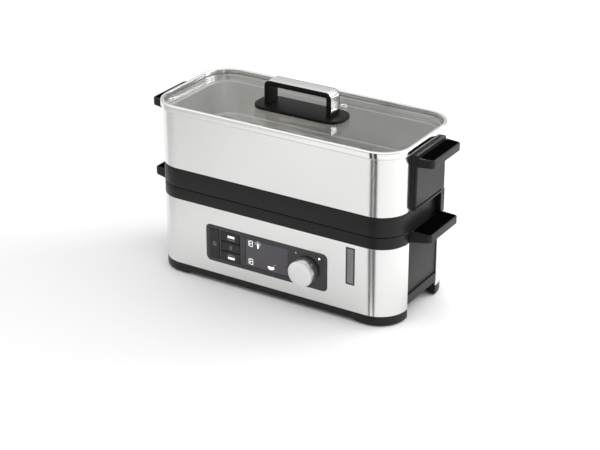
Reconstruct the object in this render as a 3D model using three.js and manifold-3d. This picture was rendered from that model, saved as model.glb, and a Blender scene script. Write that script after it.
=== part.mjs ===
// Countertop egg cooker and steamer. A base unit with a water tank, a heater and a control panel carries
// a drip tray, a deep steel bowl with two perforated inserts, and a framed glass lid, stacked in that order.
// Millimetres, +Z up, +X to the right, the control panel faces -Y. The origin is on the table, under the
// middle of the object's overall box.
import * as THREE from "three";
import { mergeVertices } from "three/addons/utils/BufferGeometryUtils.js";
import Module from "manifold-3d";

const wasm = await Module();
wasm.setup();

// ---------------------------------------------------------------- driving dimensions

const BODY_LENGTH = 320;
const BODY_DEPTH = 142;
const CORNER_RADIUS = 34;

// The stack, from the table up
const FOOT_HEIGHT = 1.2; // how far the rubber feet stand out under the pan
const SKIRT_HEIGHT = 12.5; // table to the lower edge of the steel
const SLEEVE_HEIGHT = 83.5; // steel of the base unit
const RIM_HEIGHT = 13.5; // black rim with the lower handles
const BAND_HEIGHT = 24; // wall of the drip tray
const BOWL_HEIGHT = 70; // steel wall of the bowl
const LID_HEIGHT = 7.7; // frame of the lid

// Clearances
const GAP = 0.3; // between pieces that touch or slide
const SEAM = 0.8; // open joint between pieces that lift apart

// Sheet and wall thicknesses
const SHEET = 1; // all steel sheet
const WALL = 2.5; // moulded walls
const BAND_WALL = 3;
const RIM_WALL = 4;

// Base pan
const PAN_FLOOR = 20; // underside of the pan's floor
const SKIRT_WALL = 8;
const FRONT_ARCH_FROM_END = 44.5;
const FRONT_ARCH_HEIGHT = 4.5;
const BAY_MARGIN = 3; // flat end wall left on each side of the bay between the steel sleeves
const SIDE_ARCH_HEIGHT = 18.5;
const SIDE_RAIL_HEIGHT = 11.5;
const FOOT_RADIUS = 10;
const FOOT_THICKNESS = 3.2;
const POST_WALL = 3;
const COVER_FROM_END = 42;
const COVER_FROM_SIDE = 25;
const COVER_THICKNESS = 2;
const COVER_LAP = 9; // how far the cover laps the pan's floor
const VENT_COUNT = 7;
const VENT_PITCH = 12;
const VENT_WIDTH = 4;
const VENT_LENGTH = 46;
const SCREW_RADIUS = 1.6;
const SCREW_HEAD_RADIUS = 3.2;
const SCREW_HEAD_HEIGHT = 2;
const SCREW_LENGTH = 9;
const SCREW_BOSS_RADIUS = 4.4;

// Side panels of the base
const PANEL_SETBACK = 1.5; // behind the ends of the steel
const PANEL_FLANGE_LAP = 3;
const PANEL_HEADROOM = 2; // chassis left above the panel

// Handles of the base and of the bowl
const HANDLE_REACH = 26; // beyond the body's end
const HANDLE_OVERLAP = 1; // beyond the bay on each side
const HANDLE_TAPER = 2.5; // narrower by this much on each side at the tip
const HANDLE_TIP_THICKNESS = 9.4;
const HANDLE_SKIN = 2.6;
const HANDLE_CORNER = 4;

// Control panel
const PANEL_CENTRE_X = -4.75;
const PANEL_CENTRE_HEIGHT = 38.7; // above the lower edge of the steel
const PANEL_SHARE = 0.511; // of the length of the body
const PANEL_HEIGHT = 46;
const PANEL_CORNER = 6;
const PANEL_THICKNESS = 4.5;
const PANEL_PROUD = 0.4;
const KEY_TRAVEL = 0.8;
const KEY_PROUD = 0.5;
const KEY_STEM = 3; // behind the fascia
const KEY_CLEARANCE = 0.35;
const KEY_BLOCK_HEIGHT = 36.5;
const POWER_KEY_WIDTH = 12.5;
const POWER_KEY_FROM_EDGE = 5.5;
const ZONE_KEY_WIDTH = 25.5;
const ZONE_KEY_GAP = 3.2; // between the power key and the zone keys
const DISPLAY_HEIGHT = 34;
const DISPLAY_FROM_LEFT = 54.5;
const DISPLAY_FROM_RIGHT = 52;
const DISPLAY_LENS_THICKNESS = 1.6;
const KNOB_FROM_EDGE = 25.7; // knob axis to the right edge of the panel
const KNOB_RADIUS = 15.6;
const KNOB_LENGTH = 15.4;
const KNOB_STANDOFF = 1.5;
const KNOB_SHELL = 1.1;
const KNOB_TRAVEL = 0.8;
const SHAFT_RADIUS = 3;
const PLUNGER_RADIUS = 4.2;
const ENCODER_SIZE = 13;
const INDICATOR_RADIUS = 1.3;
const INDICATOR_SPREAD = 15.4; // either side of the knob axis
const INDICATOR_DROP = 7; // below the top edge of the panel
const BOARD_THICKNESS = 1.6;
const BOARD_SETBACK = 13.4; // control board behind the front of the steel
const FASCIA_PEG_RADIUS = 1.6;
const FASCIA_PEG_INSET = 3.3; // from the ends of the panel

// Water level window
const WINDOW_FROM_END = 53.4; // window centre to the end of the body
const WINDOW_WIDTH = 10.7;
const WINDOW_FROM_TOP = 5; // to the top of the steel
const SIGHT_WALL = 1.7;
const SIGHT_DEPTH = 9;
const SIGHT_MARGIN = 2.2;
const FLOAT_HEIGHT = 6;
const DUCT_HEIGHT = 9;

// Water tank and heater
const TANK_HEADROOM = 3.6; // over the tallest component under the tank
const TANK_END_GAP = 20;
const TANK_FRONT_GAP = 27;
const TANK_REAR_GAP = 15.5;
const TANK_CORNER = 18;
const TANK_WALL = 2;
const LEDGE_WIDTH = 14; // of the rim, inwards from the outline
const LEDGE_DROP = 6.5; // rim top to the ledge
const FLANGE_THICKNESS = 2;
const HEATER_MARGIN = 15.75; // heater edge to the walls of the tank
const HEATER_THICKNESS = 6;
const HEATER_LAP = 4.5; // of the heater plate under the tank's floor
const GASKET_THICKNESS = 1.4;
const ELEMENT_INSET = 10; // element centre line to the edge of the heater
const ELEMENT_TUBE = 3.4;
const THERMOSTAT_SHARE = 0.375; // of the element's radius
const THERMOSTAT_HEIGHT = 6;
const STEAM_RING_HEIGHT = 24;
const STEAM_RING_WALL = 2;
const STEAM_NOTCH_COUNT = 4;
const STEAM_NOTCH_WIDTH = 14;
const STEAM_NOTCH_HEIGHT = 5;

// Power electronics under the tank
const BOARD_MARGIN = 5; // board to the edges of the opening over the bottom cover
const BOARD_FROM_MIDDLE = 20; // board to the middle of the body
const POWER_BOARD_LIFT = 4;
const PEG_RADIUS = 2.5;
const PEG_INSET = 5; // peg centre to the edges of the board
const RELAY_SIZE = [19, 15, 14];
const TRANSFORMER_SIZE = [30, 26, 13];
const GLAND_FROM_END = 40;
const GLAND_HEIGHT = 34;
const GLAND_RADIUS = 6.5;
const GLAND_FLANGE = 3;
const GLAND_PROUD = 3;
const CORD_HOLE_RADIUS = 3.2;

// Drip tray
const CHIMNEY_LENGTH = 60;
const CHIMNEY_DEPTH = 30;
const CHIMNEY_HEIGHT = 17;
const CHIMNEY_CORNER = 8;
const LIP_HEIGHT = 3.4; // locating lip under the tray

// Bowl and inserts
const BOWL_SILL = 16; // inward ledge at the bottom of the bowl
const BOWL_COLLAR = 7; // ring that drops into the drip tray
const BEAD_HEIGHT = 1.6;
const BEAD_REACH = 1.2;
const SHELF_DROP = 7.5; // rim of the bowl to the shelf for the upper insert
const SHELF_WIDTH = 5;
const LOWER_INSERT_HEIGHT = 15;
const INSERT_SPACING = 4.3; // between the two inserts
const INSERT_SLOTS_X = 8;
const INSERT_SLOTS_Y = 3;
const INSERT_SLOT_WIDTH = 5;
const INSERT_SLOT_LENGTH = 16;
const BRACKET_REACH = 7;
const BRACKET_OVERLAP = 0.5; // beyond the bay on each side
const BRACKET_FOOT = 1.5; // above the lower edge of the bowl
const BRACKET_TOP_DROP = 2.6; // below the rim of the bowl
const BRACKET_CORNER = 2;
const BRACKET_GROOVE = 2;
const BRACKET_GROOVE_LIFT = 4.5;
const LEG_WIDTH = 8; // rear leg of the bracket, beside the drip tray
const LEG_CLEARANCE = 1.2; // over the handle of the base
const BOWL_HANDLE_DROP = 5.5; // handle top below the rim of the bowl
const TONGUE_HEIGHT = 5;
const TONGUE_INSET = 8; // tongue to the sides of the handle

// Lid
const LID_OVERHANG = 2.3;
const LID_FRAME_INSET = 2.2; // inner edge of the frame, inwards from the body outline
const GLASS_INSET = 0.7;
const GLASS_THICKNESS = 3;
const GLASS_DROP = 4.2; // frame top to glass top
const SEAL_INSET = 3.5;
const SEAL_WIDTH = 2.5;
const SEAL_HEIGHT = 1.4; // under the glass
const PLATE_LENGTH = 116;
const PLATE_DEPTH = 42;
const PLATE_CORNER = 17;
const PLATE_THICKNESS = 3.5;
const BRIDGE_LENGTH = 88;
const BRIDGE_HEIGHT = 28.5;
const BRIDGE_DEPTH = 21;
const BRIDGE_STRAP = 6;
const BRIDGE_OUTER_CORNER = 7;
const TRIM_WIDTH = 17.5;
const TRIM_THICKNESS = 0.9;
const TRIM_FOOT = 5; // black left under each end of the trim
const LID_SCREW_RADIUS = 1.5;
const LID_SCREW_HEAD = 5;
const VENT_X = 32.5;
const VENT_Y = 39;
const VENT_RADIUS = 2.1;
const VENT_FLANGE = 4.4;

// Curve resolution
const CORNER_STEPS = 3; // half the segments in a quarter of a body corner
const SMALL_STEPS = 2; // the same for a small corner
const ROUND_SIDES = 20;

// ---------------------------------------------------------------- derived levels and places

const SLEEVE_TOP = SKIRT_HEIGHT + SLEEVE_HEIGHT;
const RIM_TOP = SLEEVE_TOP + RIM_HEIGHT;
const BAND_TOP = RIM_TOP + BAND_HEIGHT;
const BOWL_TOP = BAND_TOP + BOWL_HEIGHT;
const LID_TOP = BOWL_TOP + LID_HEIGHT;
const END = BODY_LENGTH / 2;
const FRONT = -BODY_DEPTH / 2;
const FAR = 2 * BODY_LENGTH; // reaches past everything, for cutting tools

const SIDE_BAY_WIDTH = BODY_DEPTH - 2 * (CORNER_RADIUS + BAY_MARGIN);
const HANDLE_WIDTH = SIDE_BAY_WIDTH + 2 * HANDLE_OVERLAP;
const TONGUE_WIDTH = HANDLE_WIDTH - 2 * TONGUE_INSET;
const COVER_LENGTH = BODY_LENGTH - 2 * COVER_FROM_END;
const COVER_DEPTH = BODY_DEPTH - 2 * COVER_FROM_SIDE;
const HATCH_LENGTH = COVER_LENGTH - 2 * COVER_LAP;
const HATCH_DEPTH = COVER_DEPTH - 2 * COVER_LAP;

const POWER_BOARD_BOTTOM = PAN_FLOOR + WALL + POWER_BOARD_LIFT;
const POWER_BOARD_TOP = POWER_BOARD_BOTTOM + BOARD_THICKNESS;
const TANK_FLOOR = POWER_BOARD_TOP + GAP + RELAY_SIZE[2] + TANK_HEADROOM;

const CHASSIS_INSET = SHEET + GAP; // outline to the outside of the chassis
const CHASSIS_INNER = CHASSIS_INSET + WALL;
const RISER_INSET = CHASSIS_INNER + GAP;
const RAIL_TOP = SIDE_ARCH_HEIGHT + SIDE_RAIL_HEIGHT;

const PANEL_LENGTH = PANEL_SHARE * BODY_LENGTH;
const DISPLAY_LENGTH = PANEL_LENGTH - DISPLAY_FROM_LEFT - DISPLAY_FROM_RIGHT;
const PANEL_Z = SKIRT_HEIGHT + PANEL_CENTRE_HEIGHT;
const PANEL_LEFT = PANEL_CENTRE_X - PANEL_LENGTH / 2;
const PANEL_RIGHT = PANEL_CENTRE_X + PANEL_LENGTH / 2;
const FASCIA_FRONT = FRONT - PANEL_PROUD;
const FASCIA_BACK = FASCIA_FRONT + PANEL_THICKNESS;
const BOARD_FRONT = FRONT + BOARD_SETBACK;
const POWER_KEY_X = PANEL_LEFT + POWER_KEY_FROM_EDGE + POWER_KEY_WIDTH / 2;
const ZONE_KEY_X = POWER_KEY_X + POWER_KEY_WIDTH / 2 + ZONE_KEY_GAP + ZONE_KEY_WIDTH / 2;
const ZONE_KEY_HEIGHT = KEY_BLOCK_HEIGHT / 3;
const DISPLAY_X = PANEL_LEFT + DISPLAY_FROM_LEFT + DISPLAY_LENGTH / 2;
const KNOB_X = PANEL_RIGHT - KNOB_FROM_EDGE;
const KNOB_BACK = FASCIA_FRONT - KNOB_STANDOFF;
const KNOB_FRONT = KNOB_BACK - KNOB_LENGTH;
const INDICATOR_Z = PANEL_Z + PANEL_HEIGHT / 2 - INDICATOR_DROP;

const WINDOW_X = END - WINDOW_FROM_END;
const WINDOW_HEIGHT = SLEEVE_TOP - WINDOW_FROM_TOP - TANK_FLOOR;
const WINDOW_Z = TANK_FLOOR + WINDOW_HEIGHT / 2;
const SIGHT_HALF_WIDTH = WINDOW_WIDTH / 2 + SIGHT_WALL;
const SIGHT_BOTTOM = WINDOW_Z - WINDOW_HEIGHT / 2 - SIGHT_MARGIN;
const SIGHT_TOP = WINDOW_Z + WINDOW_HEIGHT / 2 + SIGHT_MARGIN;
const SIGHT_FRONT = FRONT + SHEET + GAP;
const SIGHT_BACK = SIGHT_FRONT + SIGHT_DEPTH;
const CHANNEL_FLOOR = SIGHT_BOTTOM + SIGHT_WALL;

const TANK_HALF_LENGTH = END - TANK_END_GAP;
const TANK_FRONT = FRONT + TANK_FRONT_GAP;
const TANK_REAR = -FRONT - TANK_REAR_GAP;
const TANK_Y = (TANK_FRONT + TANK_REAR) / 2;
const TANK_DEPTH = TANK_REAR - TANK_FRONT;
const HEATER_RADIUS = TANK_DEPTH / 2 - HEATER_MARGIN;
const ELEMENT_RADIUS = HEATER_RADIUS - ELEMENT_INSET;
const THERMOSTAT_RADIUS = THERMOSTAT_SHARE * ELEMENT_RADIUS;
const LEDGE_TOP = RIM_TOP - LEDGE_DROP;
const FLANGE_TOP = LEDGE_TOP + GAP + FLANGE_THICKNESS;
const HEATER_TOP = TANK_FLOOR - GAP - GASKET_THICKNESS - GAP;
const HEATER_BOTTOM = HEATER_TOP - HEATER_THICKNESS;
const HEATER_BOSS_RADIUS = HEATER_RADIUS - HEATER_LAP;

const TRAY_BOTTOM = RIM_TOP + SEAM;
const BOWL_BOTTOM = BAND_TOP + SEAM;
const SHELF_TOP = BOWL_TOP - SHELF_DROP;
const LOWER_INSERT_BOTTOM = BOWL_BOTTOM + SHEET + GAP;
const UPPER_INSERT_BOTTOM = LOWER_INSERT_BOTTOM + LOWER_INSERT_HEIGHT + INSERT_SPACING;
const LID_BOTTOM = BOWL_TOP + GAP;
const GLASS_TOP = LID_TOP - GLASS_DROP;
const PLATE_TOP = GLASS_TOP + GAP + PLATE_THICKNESS;
const BRIDGE_TOP = PLATE_TOP + GAP + BRIDGE_HEIGHT;

const BOARD_LEFT = -HATCH_LENGTH / 2 + BOARD_MARGIN;
const BOARD_RIGHT = -BOARD_FROM_MIDDLE;
const BOARD_HALF_DEPTH = HATCH_DEPTH / 2 - BOARD_MARGIN - GAP;

// The knob stands out in front and the cord gland behind, so the body sits off the middle of the overall box.
const CENTRE_SHIFT = (-KNOB_FRONT - (-FRONT + GLAND_PROUD)) / 2;

// ---------------------------------------------------------------- materials

const finish = (color, roughness, metalness = 0) =>
  new THREE.MeshStandardMaterial({ color, roughness, metalness });

const blackPlastic = finish(0x2a2928, 0.45);
const glossBlack = finish(0x1c1c1e, 0.15);
const darkPlastic = finish(0x3a3a3c, 0.5);
const brushedSteel = finish(0xcfcecb, 0.32, 1);
const brightSteel = finish(0xdcdcdc, 0.12, 1);
const aluminium = finish(0xb4b6b8, 0.4, 1);
const rubber = finish(0x1a1a1a, 0.85);
const clearGlass = finish(0xe4ecea, 0.05);
const smokedLens = finish(0x4a484d, 0.1);
const boardGreen = finish(0x1f5a3a, 0.6);
const ivory = finish(0xece6d8, 0.4);
const zincSteel = finish(0x9a9c9e, 0.45, 1);

// ---------------------------------------------------------------- solids

// A closed three.js geometry as a manifold solid.
function solid(geometry) {
  const bare = geometry.clone();
  bare.deleteAttribute("normal");
  bare.deleteAttribute("uv");
  const merged = mergeVertices(bare, 1e-4);
  return new wasm.Manifold(
    new wasm.Mesh({
      numProp: 3,
      vertProperties: merged.attributes.position.array,
      triVerts: new Uint32Array(merged.index.array),
    }),
  );
}

// A named mesh from a manifold solid.
function piece(name, made, material) {
  const { numProp, vertProperties, triVerts } = made.getMesh();
  const points = new Float32Array((vertProperties.length / numProp) * 3);
  for (let i = 0; i < points.length / 3; i++) {
    points.set(vertProperties.subarray(i * numProp, i * numProp + 3), i * 3);
  }
  const geometry = new THREE.BufferGeometry();
  geometry.setAttribute("position", new THREE.BufferAttribute(points, 3));
  geometry.setIndex(new THREE.BufferAttribute(triVerts, 1));
  geometry.computeVertexNormals();
  const mesh = new THREE.Mesh(geometry, material);
  mesh.name = name;
  return mesh;
}

const join = (first, ...rest) => rest.reduce((whole, more) => whole.add(more), first);
const cut = (first, ...tools) => tools.reduce((whole, tool) => whole.subtract(tool), first);

function roundedRectangle(length, depth, radius) {
  const x = length / 2 - radius;
  const y = depth / 2 - radius;
  const shape = new THREE.Shape();
  shape.absarc(x, y, radius, 0, Math.PI / 2);
  shape.absarc(-x, y, radius, Math.PI / 2, Math.PI);
  shape.absarc(-x, -y, radius, Math.PI, 1.5 * Math.PI);
  shape.absarc(x, -y, radius, 1.5 * Math.PI, 2 * Math.PI);
  shape.closePath();
  return shape;
}

function extruded(shape, bottom, top, steps) {
  const depth = top - bottom;
  const geometry = new THREE.ExtrudeGeometry(shape, { depth, bevelEnabled: false, curveSegments: steps });
  return geometry.translate(0, 0, bottom);
}

// A slab with rounded corners, from one height to another.
function slab(length, depth, radius, bottom, top, x = 0, y = 0, steps = CORNER_STEPS) {
  const geometry = extruded(roundedRectangle(length, depth, radius), bottom, top, steps);
  return solid(geometry.translate(x, y, 0));
}

// The body's plan outline, moved inwards by inset, as a slab.
function outlineSlab(inset, bottom, top) {
  return slab(BODY_LENGTH - 2 * inset, BODY_DEPTH - 2 * inset, CORNER_RADIUS - inset, bottom, top);
}

// A ring that follows the body's outline between two insets.
function outlineRing(outer, inner, bottom, top) {
  return outlineSlab(outer, bottom, top).subtract(outlineSlab(inner, bottom - 1, top + 1));
}

function block(x0, x1, y0, y1, z0, z1) {
  const geometry = new THREE.BoxGeometry(x1 - x0, y1 - y0, z1 - z0);
  return solid(geometry.translate((x0 + x1) / 2, (y0 + y1) / 2, (z0 + z1) / 2));
}

// A round bar along Z.
function bar(radius, bottom, top, x = 0, y = 0, sides = ROUND_SIDES) {
  const geometry = new THREE.CylinderGeometry(radius, radius, top - bottom, sides);
  return solid(geometry.rotateX(Math.PI / 2).translate(x, y, (bottom + top) / 2));
}

// A round bar along Y, between two depths.
function crossBar(radius, y0, y1, x, z, sides = ROUND_SIDES) {
  const geometry = new THREE.CylinderGeometry(radius, radius, y1 - y0, sides);
  return solid(geometry.translate(x, (y0 + y1) / 2, z));
}

// A slab with rounded corners that stands upright, facing -Y.
function uprightSlab(length, height, radius, y0, y1, x, z, steps = SMALL_STEPS) {
  const geometry = extruded(roundedRectangle(length, height, radius), 0, y1 - y0, steps);
  return solid(geometry.rotateX(Math.PI / 2).translate(x, y1, z));
}

// The same solid at the other end of the body.
const mirrored = (made) => made.mirror([1, 0, 0]);

// ---------------------------------------------------------------- base unit: housing

// Each foot's post stands just inside the rounded corner of the chassis.
const footOffset = (CORNER_RADIUS - RISER_INSET - FOOT_RADIUS - POST_WALL) / Math.SQRT2 - CORNER_RADIUS;
const footPlaces = [-1, 1].flatMap((sx) =>
  [-1, 1].map((sy) => [sx * (END + footOffset), sy * (-FRONT + footOffset)]),
);
const screwPlaces = [-1, 1].flatMap((sx) =>
  [-1, 1].map((sy) => [(sx * (COVER_LENGTH - COVER_LAP)) / 2, (sy * (COVER_DEPTH - COVER_LAP)) / 2]),
);
const PAN_FLOOR_TOP = PAN_FLOOR + WALL;
const COVER_TOP = PAN_FLOOR - GAP;
const COVER_BOTTOM = COVER_TOP - COVER_THICKNESS;

function basePan() {
  const skirt = outlineRing(0, SKIRT_WALL, FOOT_HEIGHT, SKIRT_HEIGHT);
  const riser = outlineRing(RISER_INSET, SKIRT_WALL, SKIRT_HEIGHT - 1, PAN_FLOOR_TOP);
  const floor = outlineSlab(SKIRT_WALL - 1, PAN_FLOOR, PAN_FLOOR_TOP);
  const railWidth = SIDE_BAY_WIDTH - 2 * GAP;
  const rail = block(END - SKIRT_WALL, END, -railWidth / 2, railWidth / 2, SKIRT_HEIGHT - 1, RAIL_TOP);
  const posts = footPlaces.map(([x, y]) => bar(FOOT_RADIUS + POST_WALL, FOOT_HEIGHT, PAN_FLOOR_TOP, x, y, 12));
  const bosses = screwPlaces.map(([x, y]) =>
    bar(SCREW_BOSS_RADIUS, PAN_FLOOR, PAN_FLOOR + SCREW_LENGTH, x, y, 10),
  );
  const recesses = footPlaces.map(([x, y]) => bar(FOOT_RADIUS + GAP, -1, FOOT_THICKNESS + GAP, x, y, 16));
  const pilots = screwPlaces.map(([x, y]) =>
    bar(SCREW_RADIUS + GAP, 0, COVER_BOTTOM + SCREW_LENGTH + GAP, x, y, 8),
  );
  const archEnd = END - FRONT_ARCH_FROM_END;
  return cut(
    join(skirt, riser, floor, rail, mirrored(rail), ...posts, ...bosses),
    block(-archEnd, archEnd, -FAR, FAR, -1, FRONT_ARCH_HEIGHT),
    block(-FAR, FAR, -SIDE_BAY_WIDTH / 2, SIDE_BAY_WIDTH / 2, -1, SIDE_ARCH_HEIGHT),
    slab(HATCH_LENGTH, HATCH_DEPTH, 4, PAN_FLOOR - 1, PAN_FLOOR_TOP + 1, 0, 0, 2),
    ...recesses,
    ...pilots,
  );
}

function bottomCover() {
  const plate = slab(COVER_LENGTH, COVER_DEPTH, 6, COVER_BOTTOM, COVER_TOP, 0, 0, SMALL_STEPS);
  const vents = Array.from({ length: VENT_COUNT }, (_, i) => {
    const x = (i - (VENT_COUNT - 1) / 2) * VENT_PITCH;
    return block(x - VENT_WIDTH / 2, x + VENT_WIDTH / 2, -VENT_LENGTH / 2, VENT_LENGTH / 2, 0, FAR);
  });
  const holes = screwPlaces.map(([x, y]) => bar(SCREW_RADIUS + GAP, 0, COVER_TOP + 1, x, y, 8));
  const pegs = [BOARD_LEFT + PEG_INSET, BOARD_RIGHT - PEG_INSET].flatMap((x) =>
    [-1, 1].map((sy) =>
      bar(PEG_RADIUS, COVER_TOP - 1, POWER_BOARD_BOTTOM - GAP, x, sy * (BOARD_HALF_DEPTH - PEG_INSET), 10),
    ),
  );
  return join(cut(plate, ...vents, ...holes), ...pegs);
}

function coverScrew(x, y) {
  const headTop = COVER_BOTTOM - GAP;
  const head = bar(SCREW_HEAD_RADIUS, headTop - SCREW_HEAD_HEIGHT, headTop, x, y, 12);
  const shank = bar(SCREW_RADIUS, headTop - 1, COVER_BOTTOM + SCREW_LENGTH, x, y, 8);
  const slot = block(x - FAR, x + FAR, y - 0.5, y + 0.5, 0, headTop - SCREW_HEAD_HEIGHT + 0.8);
  return join(head, shank).subtract(slot);
}

// The openings in the steel and in the chassis behind it share their outlines.
const fasciaOpening = (grow) =>
  uprightSlab(PANEL_LENGTH + 2 * grow, PANEL_HEIGHT + 2 * grow, PANEL_CORNER + grow,
    FRONT - 5, FRONT + CHASSIS_INNER + 5, PANEL_CENTRE_X, PANEL_Z);
const windowOpening = (grow) =>
  block(WINDOW_X - WINDOW_WIDTH / 2 - grow, WINDOW_X + WINDOW_WIDTH / 2 + grow, FRONT - 5, FRONT + 5,
    WINDOW_Z - WINDOW_HEIGHT / 2 - grow, WINDOW_Z + WINDOW_HEIGHT / 2 + grow);
const glandOpening = (grow) =>
  crossBar(GLAND_RADIUS + grow, -FRONT - CHASSIS_INNER - 5, -FRONT + 5, END - GLAND_FROM_END, GLAND_HEIGHT, 20);

// The upright plastic wall that carries the steel.
function chassis() {
  const bay = SIDE_BAY_WIDTH / 2 + GAP;
  return cut(
    outlineRing(CHASSIS_INSET, CHASSIS_INNER, SKIRT_HEIGHT + GAP, SLEEVE_TOP - GAP),
    fasciaOpening(GAP),
    block(WINDOW_X - SIGHT_HALF_WIDTH - GAP, WINDOW_X + SIGHT_HALF_WIDTH + GAP, FRONT, FRONT + CHASSIS_INNER + 5,
      SIGHT_BOTTOM - GAP, SIGHT_TOP + GAP),
    block(-FAR, FAR, -bay, bay, 0, SLEEVE_TOP - PANEL_HEADROOM),
    glandOpening(GAP),
  );
}

function sleeve(side) {
  const ring = outlineRing(0, SHEET, SKIRT_HEIGHT + GAP, SLEEVE_TOP - GAP);
  const edge = SIDE_BAY_WIDTH / 2 + GAP;
  const half = side < 0 ? block(-FAR, FAR, -FAR, -edge, 0, FAR) : block(-FAR, FAR, edge, FAR, 0, FAR);
  return cut(ring.intersect(half), ...(side < 0 ? [fasciaOpening(GAP), windowOpening(0)] : [glandOpening(GAP)]));
}

function sidePanel() {
  const bottom = RAIL_TOP + GAP;
  const top = SLEEVE_TOP - PANEL_HEADROOM - GAP;
  const back = END - CHASSIS_INNER - GAP;
  const half = SIDE_BAY_WIDTH / 2 - GAP;
  const lap = half + PANEL_FLANGE_LAP;
  return join(
    block(back - 1, END - PANEL_SETBACK, -half, half, bottom, top),
    block(back - WALL, back, -lap, lap, bottom + 2, top - 2),
  );
}

// A handle that stands out from the right end: flat on top, hollow underneath, thinner towards its tip.
function endHandle(root, top, rootThickness) {
  const tip = END + HANDLE_REACH;
  const wide = HANDLE_WIDTH / 2;
  const narrow = wide - HANDLE_TAPER;
  const plan = new THREE.Shape();
  plan.moveTo(root, -wide);
  plan.lineTo(tip - HANDLE_CORNER, -narrow);
  plan.absarc(tip - HANDLE_CORNER, -narrow + HANDLE_CORNER, HANDLE_CORNER, -Math.PI / 2, 0);
  plan.absarc(tip - HANDLE_CORNER, narrow - HANDLE_CORNER, HANDLE_CORNER, 0, Math.PI / 2);
  plan.lineTo(root, wide);
  plan.closePath();
  const body = solid(extruded(plan, top - rootThickness, top, SMALL_STEPS));
  const slope = new THREE.Shape();
  slope.moveTo(root, top - rootThickness - 1);
  slope.lineTo(tip + 1, top - rootThickness - 1);
  slope.lineTo(tip + 1, top - HANDLE_TIP_THICKNESS);
  slope.lineTo(root, top - rootThickness);
  slope.closePath();
  const wedge = solid(extruded(slope, -wide - 1, wide + 1, 1).rotateX(Math.PI / 2));
  const hollow = block(END + HANDLE_SKIN + BRACKET_REACH, tip - HANDLE_SKIN, -narrow + HANDLE_SKIN,
    narrow - HANDLE_SKIN, top - rootThickness - 1, top - HANDLE_SKIN);
  return cut(body, wedge, hollow);
}

function baseRim() {
  const wall = outlineRing(0, RIM_WALL, SLEEVE_TOP, RIM_TOP);
  const ledge = outlineRing(RIM_WALL - 1, LEDGE_WIDTH, SLEEVE_TOP, LEDGE_TOP);
  const handle = endHandle(END - 1, RIM_TOP, RIM_HEIGHT);
  return join(wall, ledge, handle, mirrored(handle));
}

function cordGland() {
  const x = END - GLAND_FROM_END;
  const back = -FRONT;
  const flange = crossBar(GLAND_RADIUS + GLAND_FLANGE, back + GAP, back + GLAND_PROUD, x, GLAND_HEIGHT, 20);
  const barrel = crossBar(GLAND_RADIUS, back - CHASSIS_INNER - 3, back + 1, x, GLAND_HEIGHT, 20);
  return join(flange, barrel).subtract(crossBar(CORD_HOLE_RADIUS, back - FAR, back + FAR, x, GLAND_HEIGHT, 16));
}

// ---------------------------------------------------------------- base unit: water and heat

function waterTank() {
  const wall = (inset, bottom, top) =>
    slab(2 * (TANK_HALF_LENGTH - inset), TANK_DEPTH - 2 * inset, TANK_CORNER - inset, bottom, top, 0, TANK_Y,
      SMALL_STEPS);
  const flange = outlineSlab(RIM_WALL + GAP, LEDGE_TOP + GAP, FLANGE_TOP);
  const ductTop = CHANNEL_FLOOR + DUCT_HEIGHT;
  const ductHalf = SIGHT_HALF_WIDTH - SIGHT_WALL;
  const duct = block(WINDOW_X - ductHalf - 1, WINDOW_X + ductHalf + 1, SIGHT_BACK + GAP, TANK_FRONT + 1,
    TANK_FLOOR, ductTop);
  const water = block(WINDOW_X - ductHalf + 1, WINDOW_X + ductHalf - 1, SIGHT_BACK - 1, TANK_FRONT + TANK_WALL + 1,
    TANK_FLOOR + TANK_WALL, ductTop - TANK_WALL);
  return cut(
    join(wall(0, TANK_FLOOR, FLANGE_TOP), flange, duct),
    wall(TANK_WALL, TANK_FLOOR + TANK_WALL, FLANGE_TOP + 1),
    water,
    bar(HEATER_BOSS_RADIUS + GAP, 0, TANK_FLOOR + TANK_WALL + 1, 0, TANK_Y),
  );
}

function heaterPlate() {
  return join(
    bar(HEATER_RADIUS, HEATER_BOTTOM, HEATER_TOP, 0, TANK_Y),
    bar(HEATER_BOSS_RADIUS, HEATER_TOP - 1, TANK_FLOOR + TANK_WALL, 0, TANK_Y),
  );
}

function heaterGasket() {
  const bottom = HEATER_TOP + GAP;
  return bar(HEATER_RADIUS, bottom, bottom + GASKET_THICKNESS, 0, TANK_Y)
    .subtract(bar(HEATER_BOSS_RADIUS + GAP, 0, FAR, 0, TANK_Y));
}

// A sheathed element bent into an open loop, with its two cold ends turned down.
function heatingElement() {
  const z = HEATER_BOTTOM - GAP - ELEMENT_TUBE;
  const gapAngle = 0.32;
  const points = [];
  for (let i = 0; i <= 20; i++) {
    const angle = -Math.PI / 2 + gapAngle + ((2 * Math.PI - 2 * gapAngle) * i) / 20;
    points.push(new THREE.Vector3(ELEMENT_RADIUS * Math.cos(angle), ELEMENT_RADIUS * Math.sin(angle), z));
  }
  const tube = new THREE.Shape();
  tube.absarc(0, 0, ELEMENT_TUBE, 0, 2 * Math.PI);
  const path = new THREE.CatmullRomCurve3(points);
  const loop = new THREE.ExtrudeGeometry(tube, { steps: 18, extrudePath: path, curveSegments: 4 });
  const ends = [points[0], points[20]].map((p) => bar(ELEMENT_TUBE * 0.6, z - 6, z, p.x, TANK_Y + p.y, 10));
  return join(solid(loop.translate(0, TANK_Y, 0)), ...ends);
}

function thermostat() {
  const top = HEATER_BOTTOM - GAP;
  const tabs = block(-THERMOSTAT_RADIUS - 3, THERMOSTAT_RADIUS + 3, TANK_Y - 1.5, TANK_Y + 1.5, top - 3, top - 2.2);
  return join(bar(THERMOSTAT_RADIUS, top - THERMOSTAT_HEIGHT, top, 0, TANK_Y, 20), tabs);
}

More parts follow.
